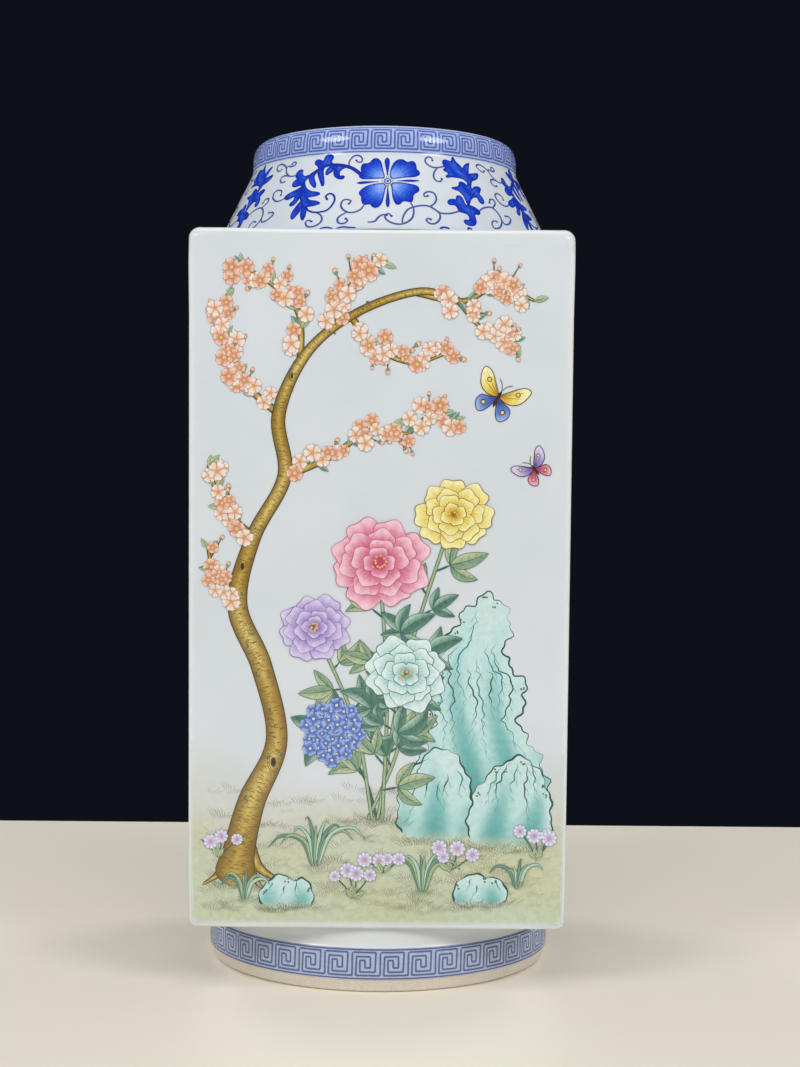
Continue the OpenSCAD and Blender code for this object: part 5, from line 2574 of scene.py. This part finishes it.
@dataclass
class Garden(Rockery, FloweringTree, Shrub, Border, Butterflies):
    """An enamelled garden on one side of the body: ground, rocks, a flowering tree, blooms and grasses."""

    lower_z: float = 23.0
    half_w: float = 60.9
    low_edge: float = -0.1
    tufts: int = 280
    tuft_rows: tuple[float, ...] = (0.1, 0.17, 0.25, 0.36, 0.48, 0.6, 0.74)

    def ground(self) -> None:
        """Wash the ground in pale greens that fade upwards and at the arrises, and grow grass on it."""
        xs, rows = crowded(-self.half_w, self.half_w, 81), 40
        n, tops = len(xs), np.interp(xs, *zip(*self.plan.ground))
        u, k = np.meshgrid(xs, np.linspace(0.0, 1.0, rows + 1) ** 1.5)
        v = self.low_edge + (tops[None] - self.low_edge) * k
        patch = 0.5 + 0.25 * np.sin(u / 9.0 + v / 5.0) + 0.25 * np.sin(u / 23.0 - v / 7.0 + self.plan.seed)
        in_u, in_v = self.half_w - np.abs(u), v - self.low_edge
        cover = smooth(in_v / 1.5) * (1.0 - smooth((k - 0.5 + 0.2 * patch) / 0.6)) * (0.78 + 0.22 * patch)
        cover *= smooth(in_u / 1.1) * smooth((np.hypot(in_u, in_v) - 1.2) / 2.0)
        colours = ramp(((0.0, Enamel.GROUND_LOW), (0.5, Enamel.GROUND), (1.0, Enamel.GROUND_WARM)),
                       (0.75 * k + 0.45 * patch - 0.1).ravel())
        colours[:, 3] = cover.ravel()
        corners = [i * n + j for i in range(rows) for j in range(n - 1)]
        self.washes.add(np.column_stack([u.ravel(), v.ravel()]), colours,
                        [(c, c + 1, c + n + 1, c + n) for c in corners], 0.0)
        for _ in range(self.tufts):
            across = self.vary(-self.tuft_half, self.tuft_half)
            up = self.pick(self.tuft_rows) * float(np.interp(across, xs, tops)) + self.draw.gauss(0.0, 1.2)
            if up > 3.5:
                unit = Unit.TUFT if self.draw.random() < 0.65 else Unit.TUFT_GREEN
                level = Level.FRONT_GRASS if up < 5.5 else Level.BACK_GRASS
                self.mark(unit, (across, up), self.draw.gauss(0.0, 0.2), self.vary(0.45, 0.95), level, 0.2)

    def paint(self) -> None:
        """Paint the garden from back to front."""
        plan = self.plan
        self.ground()
        self.rockery()
        for cane in plan.canes:
            self.bamboo(cane)
        if plan.tree:
            self.tree()
        for head in plan.clusters:
            self.cluster(*head)
        self.shrub()
        for insect in plan.butterflies:
            self.butterfly(*insect)
        for clump in plan.clumps:
            self.blades(*clump)
        self.daisies()

    def build(self, tree: ScatterTree) -> None:
        """Lift the painting to its height on the side, scatter the units and lay all of it on.

        Args:
            tree: The tree that scatters units.
        """
        across, up, turn, size, pick, level = np.array(self.marks).T
        places = bpy.data.meshes.new("places")
        places.from_pydata(np.column_stack([across, up, (2.0 + level) * WALL_LEVEL_MM]).tolist(), [], [])
        store(places, "turn", turn)
        store(places, "size", size)
        places.attributes.new("pick", "INT", "POINT").data.foreach_set("value", pick.astype(np.int32))
        sprigs = tree.run(places, Units=self.box.collection, Material=self.box.material)
        washes, strokes = self.washes.mesh("ground"), self.mesh("garden")
        for part, mesh in (("ground", washes), ("garden", strokes), ("sprigs", sprigs)):
            mesh.transform(Matrix.Translation((0.0, self.lower_z, 0.0)))
            wrap(f"{self.side.name.lower()}_{part}", mesh, self.side.place, self.box.material)


PLANS = {
    Side.FRONT: GardenPlan(
        21, ((-61, 60), (-30, 52), (0, 58), (30, 62), (61, 56)), (1, 0), (1, 35, 38, 1.0), (0, 34),
        peonies=(((9, 82), 14.0, AQUA_BLOOM), ((-21, 97), 12.0, LILAC_BLOOM), ((24, 134), 13.0, YELLOW_BLOOM),
                 ((0, 118), 16.5, ROSE_BLOOM)),
        clusters=(((-15, 63), 9.5),),
        butterflies=(((38, 172), 8.5, -0.5, YELLOW_BLOOM, BLUE_BLOOM),
                     ((50, 149), 6.0, 0.7, LILAC_BLOOM, ROSE_BLOOM)),
        clumps=(((-20, 19), 9, 22.0), ((15, 11), 8, 18.0), ((-43, 8), 6, 12.0), ((46, 12), 6, 12.0)),
        stones=((-30, 10), (33, 11)), daisies=((-8, 9), (2, 17), (24, 18), (-52, 22), (52, 22))),
    Side.RIGHT: GardenPlan(
        34, ((-61, 50), (-20, 58), (20, 52), (61, 60)), None, (-1, -33.5, 36, 0.95), (4, 32),
        mums=(((2, 104), 15.0, YELLOW_BLOOM), ((-20, 122), 12.0, LILAC_BLOOM), ((20, 84), 13.0, ROSE_BLOOM),
              ((-8, 76), 12.0, AQUA_BLOOM), ((22, 116), 10.0, SALMON_BLOOM)),
        canes=(((40, 26), (43, 90), (40, 160), (44, 212)), ((50, 24), (51, 100), (54, 190)),
               ((30, 28), (32, 80), (28, 150), (20, 206))),
        butterflies=(((-30, 168), 8.0, 0.6, BLUE_BLOOM, YELLOW_BLOOM),
                     ((-46, 146), 5.5, -0.4, ROSE_BLOOM, LILAC_BLOOM)),
        clumps=(((8, 14), 9, 20.0), ((-42, 10), 6, 13.0), ((44, 12), 7, 12.0)), stones=((22, 11),),
        daisies=((-18, 12), (34, 22), (-52, 24))),
    Side.BACK: GardenPlan(
        47, ((-61, 58), (-25, 60), (10, 52), (61, 57)), (-1, 0), (-1, -36, 36, 0.85), (-4, 34),
        peonies=(((-12, 84), 15.0, ROSE_BLOOM), ((18, 98), 13.0, AQUA_BLOOM),
                 ((-26, 132), 12.0, SALMON_BLOOM), ((0, 122), 15.5, YELLOW_BLOOM)),
        clusters=(((12, 66), 9.0),),
        butterflies=(((-38, 176), 8.0, 0.5, LILAC_BLOOM, BLUE_BLOOM),),
        clumps=(((20, 17), 9, 21.0), ((-16, 11), 8, 17.0), ((43, 8), 6, 12.0)), stones=((32, 10),),
        daisies=((4, 10), (-30, 16), (50, 20))),
    Side.LEFT: GardenPlan(
        58, ((-61, 56), (-20, 50), (25, 60), (61, 52)), (1, 2), (1, 38, 34, 0.75), (10, 32),
        mums=(((8, 92), 13.0, AQUA_BLOOM), ((-14, 80), 11.0, ROSE_BLOOM), ((26, 112), 12.0, LILAC_BLOOM),
              ((-4, 120), 13.0, YELLOW_BLOOM)),
        butterflies=(((34, 160), 8.0, -0.7, ROSE_BLOOM, YELLOW_BLOOM),
                     ((48, 176), 5.5, 0.5, BLUE_BLOOM, LILAC_BLOOM)),
        clumps=(((-14, 16), 10, 26.0), ((22, 12), 8, 18.0), ((-44, 8), 6, 12.0)), stones=((46, 9),),
        daisies=((-30, 12), (4, 10), (34, 20))),
}


@dataclass(frozen=True)
class TableLacquer(Finish):
    """Satin lacquer of the table: to the eye a warm white with a faint mottle and soft reflections."""

    name: str = "table_lacquer"
    white: str = "faf2e2"
    mottle_mm: float = 1000.0 / 9.0
    roughness: float = 0.42

    def looks(self, node: AddNode, place: Socket) -> dict[str, Socket | float]:
        """Warm white, faintly mottled.

        Args:
            node: Adds a node to the material's tree.
            place: The place on the object.

        Returns:
            Name of each input of the shader to its value or socket.
        """
        mottle = node("ShaderNodeTexNoise", {"Vector": place, "Scale": scale_of(self.mottle_mm),
                                              "Detail": 4.0})
        shade = node("ShaderNodeMapRange", {"Value": mottle, "To Min": 0.97, "To Max": 1.03})
        laid = node("ShaderNodeVectorMath", {0: linear(self.white)[:3], "Scale": shade}, operation="SCALE")
        return {"Base Color": laid, "Roughness": self.roughness}


@dataclass(frozen=True)
class Studio:
    """A plain pale table top, soft lamps, a dark room behind, and the camera at the photographed angle.

    Places and sizes are in metres where their names do not end in mm.
    """

    air: str = "dfe2e6"
    air_strength: float = 0.34
    room: str = "0e1118"
    sensor_mm: float = 36.0
    lens_mm: float = 60.73
    eye_mm: tuple[float, float, float] = (6.6, -645.9, 163.75)
    pitch_deg: float = 1.28
    roll_deg: float = 0.49
    aim: tuple[float, float, float] = (0.0, 0.0, 0.15)
    table_back: float = 0.246
    table_half: float = 1.5
    table_edge: float = 0.004
    table_drop: float = 0.04

    def camera(self) -> None:
        """Set up the camera, a little above the middle of the vase and tipped down and over."""
        data = bpy.data.cameras.new("camera")
        data.sensor_width = self.sensor_mm
        data.sensor_fit = "AUTO"
        data.lens = self.lens_mm
        data.clip_start = 0.02
        eye = add_object("camera", data)
        tilt = Euler((radians(90.0 - self.pitch_deg), 0.0, 0.0)).to_matrix()
        roll = Matrix.Rotation(radians(self.roll_deg), 3, "Z")
        eye.matrix_world = Matrix.Translation(Vector(self.eye_mm) * MM) @ (tilt @ roll).to_4x4()
        bpy.context.scene.camera = eye

    def table(self) -> None:
        """Build the table top the vase stands on; its back edge, eased over, lies close behind the vase."""
        e, half, back = self.table_edge, self.table_half, self.table_back
        line = [(-half, 0.0), (back - e, 0.0)]
        line += [(back - e + e * sin(a), e * cos(a) - e) for a in np.linspace(0, pi / 2, 7)[1:]]
        line.append((back, -self.table_drop))
        points = np.array([(x, y, z) for y, z in line for x in (-half, half)]) / MM
        faces = [(i, i + 1, i + 3, i + 2) for i in range(0, 2 * len(line) - 2, 2)]
        top = make_solid("floor", points, faces, TableLacquer().material())
        smooth_shade(top.data, 60.0)

    def lamp(self, name: str, at: Sequence[float], size: Point, watts: float, glint: bool) -> None:
        """Hang a softbox turned to the vase.

        Args:
            name: Its name.
            at: Its place in metres.
            size: Its width and height.
            watts: Its power.
            glint: Whether the glaze mirrors it.
        """
        data = bpy.data.lights.new(name, "AREA")
        data.shape = "ELLIPSE"
        data.size, data.size_y = size
        data.energy = watts
        lamp = add_object(name, data)
        way = Vector(self.aim) - Vector(at)
        lamp.matrix_world = Matrix.Translation(at) @ way.to_track_quat("-Z", "Y").to_matrix().to_4x4()
        lamp.visible_glossy = glint

    def light(self) -> None:
        """Hang a softbox to each side in front and behind and a broad one overhead, in an even world."""
        for side, x in (("left", -0.95), ("right", 0.95)):
            self.lamp(f"{side}_front", (x, -0.98, 0.92), (0.70, 0.45), 7.4, True)
            self.lamp(f"{side}_back", (x, 0.98, 0.92), (0.80, 0.80), 6.0, False)
        self.lamp("overhead", (0.0, -0.6, 1.35), (1.0, 0.8), 4.7, False)
        self.surround()

    def surround(self) -> None:
        """Light evenly from all round, and show the plain dark room to the camera and in reflections."""
        world = bpy.data.worlds.new("room")
        world.use_nodes = True
        world.node_tree.nodes.clear()
        node = partial(add_node, world.node_tree)
        air = node("ShaderNodeBackground", {"Color": linear(self.air), "Strength": self.air_strength})
        room = node("ShaderNodeBackground", {"Color": linear(self.room), "Strength": 1.0})
        seen = node("ShaderNodeLightPath", out="Is Camera Ray")
        rays = seen.node.outputs
        for kind in ("Is Glossy Ray", "Is Transmission Ray"):
            seen = node("ShaderNodeMath", {0: seen, 1: rays[kind]}, operation="MAXIMUM")
        node("ShaderNodeOutputWorld", {"Surface": node("ShaderNodeMixShader", {0: seen, 1: air, 2: room})})
        bpy.context.scene.world = world

    def build(self) -> None:
        """Set up the camera, the table and the lamps."""
        self.camera()
        self.table()
        self.light()


def main() -> None:
    """Build the vase piece by piece and set up the studio."""
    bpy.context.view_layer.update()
    glaze, paste = GlazedPorcelain().material(), BarePaste().material()
    neck, foot = Neck(SIZES), Foot(SIZES)
    SlabBody(SIZES, glaze).build()
    neck.build(glaze)
    foot.build(glaze, paste)
    cobalt = PaintedGlaze("underglaze_cobalt", roughness=0.08, streak=0.10).material()
    rows = RowTree()
    rim_start, cone_start = neck.marks()
    FretBand("rim_fret", units=38, start=3.83, low_rule=0.75, fret_low=1.75, fret_high=8.2, high_rule=9.2,
             wash_low=0.35, wash_high=10.6, line_w=0.64, rule_w=(0.36, 0.36), wash=Cobalt.RIM_WASH,
             line=Cobalt.RIM_LINE).build(rows, TurnedSheet(neck.outside(), SIZES.collar_r, rim_start), cobalt)
    FretBand("foot_fret", units=41, start=1.4, low_rule=0.35, fret_low=1.3, fret_high=9.0, high_rule=9.95,
             wash_low=0.12, wash_high=10.3, line_w=0.68, rule_w=(0.5, 0.75), wash=Cobalt.FRET_WASH,
             line=Cobalt.FRET_LINE).build(rows, TurnedSheet(foot.outside(), SIZES.foot_r, 0.0), cobalt)
    LotusScroll().build(rows, TurnedSheet(neck.outside(), LotusScroll.mean_r, cone_start), cobalt)
    CornerSprigs().build_on(on_shoulder, cobalt)
    enamel = PaintedGlaze("overglaze_enamel", roughness=0.17, streak=0.09).material()
    box = UnitBox(RingTree(), enamel)
    scatter = ScatterTree()
    for side, plan in PLANS.items():
        garden = Garden(side=side, plan=plan, box=box)
        garden.paint()
        garden.build(scatter)
    for name, node in frame["nodes"].items():
        if "seam_strip" in name:
            node.data.materials.clear()
            node.data.materials.append(paste)
    Studio().build()
    bpy.context.scene.view_settings.view_transform = "Standard"


if __name__ == "__main__":
    main()
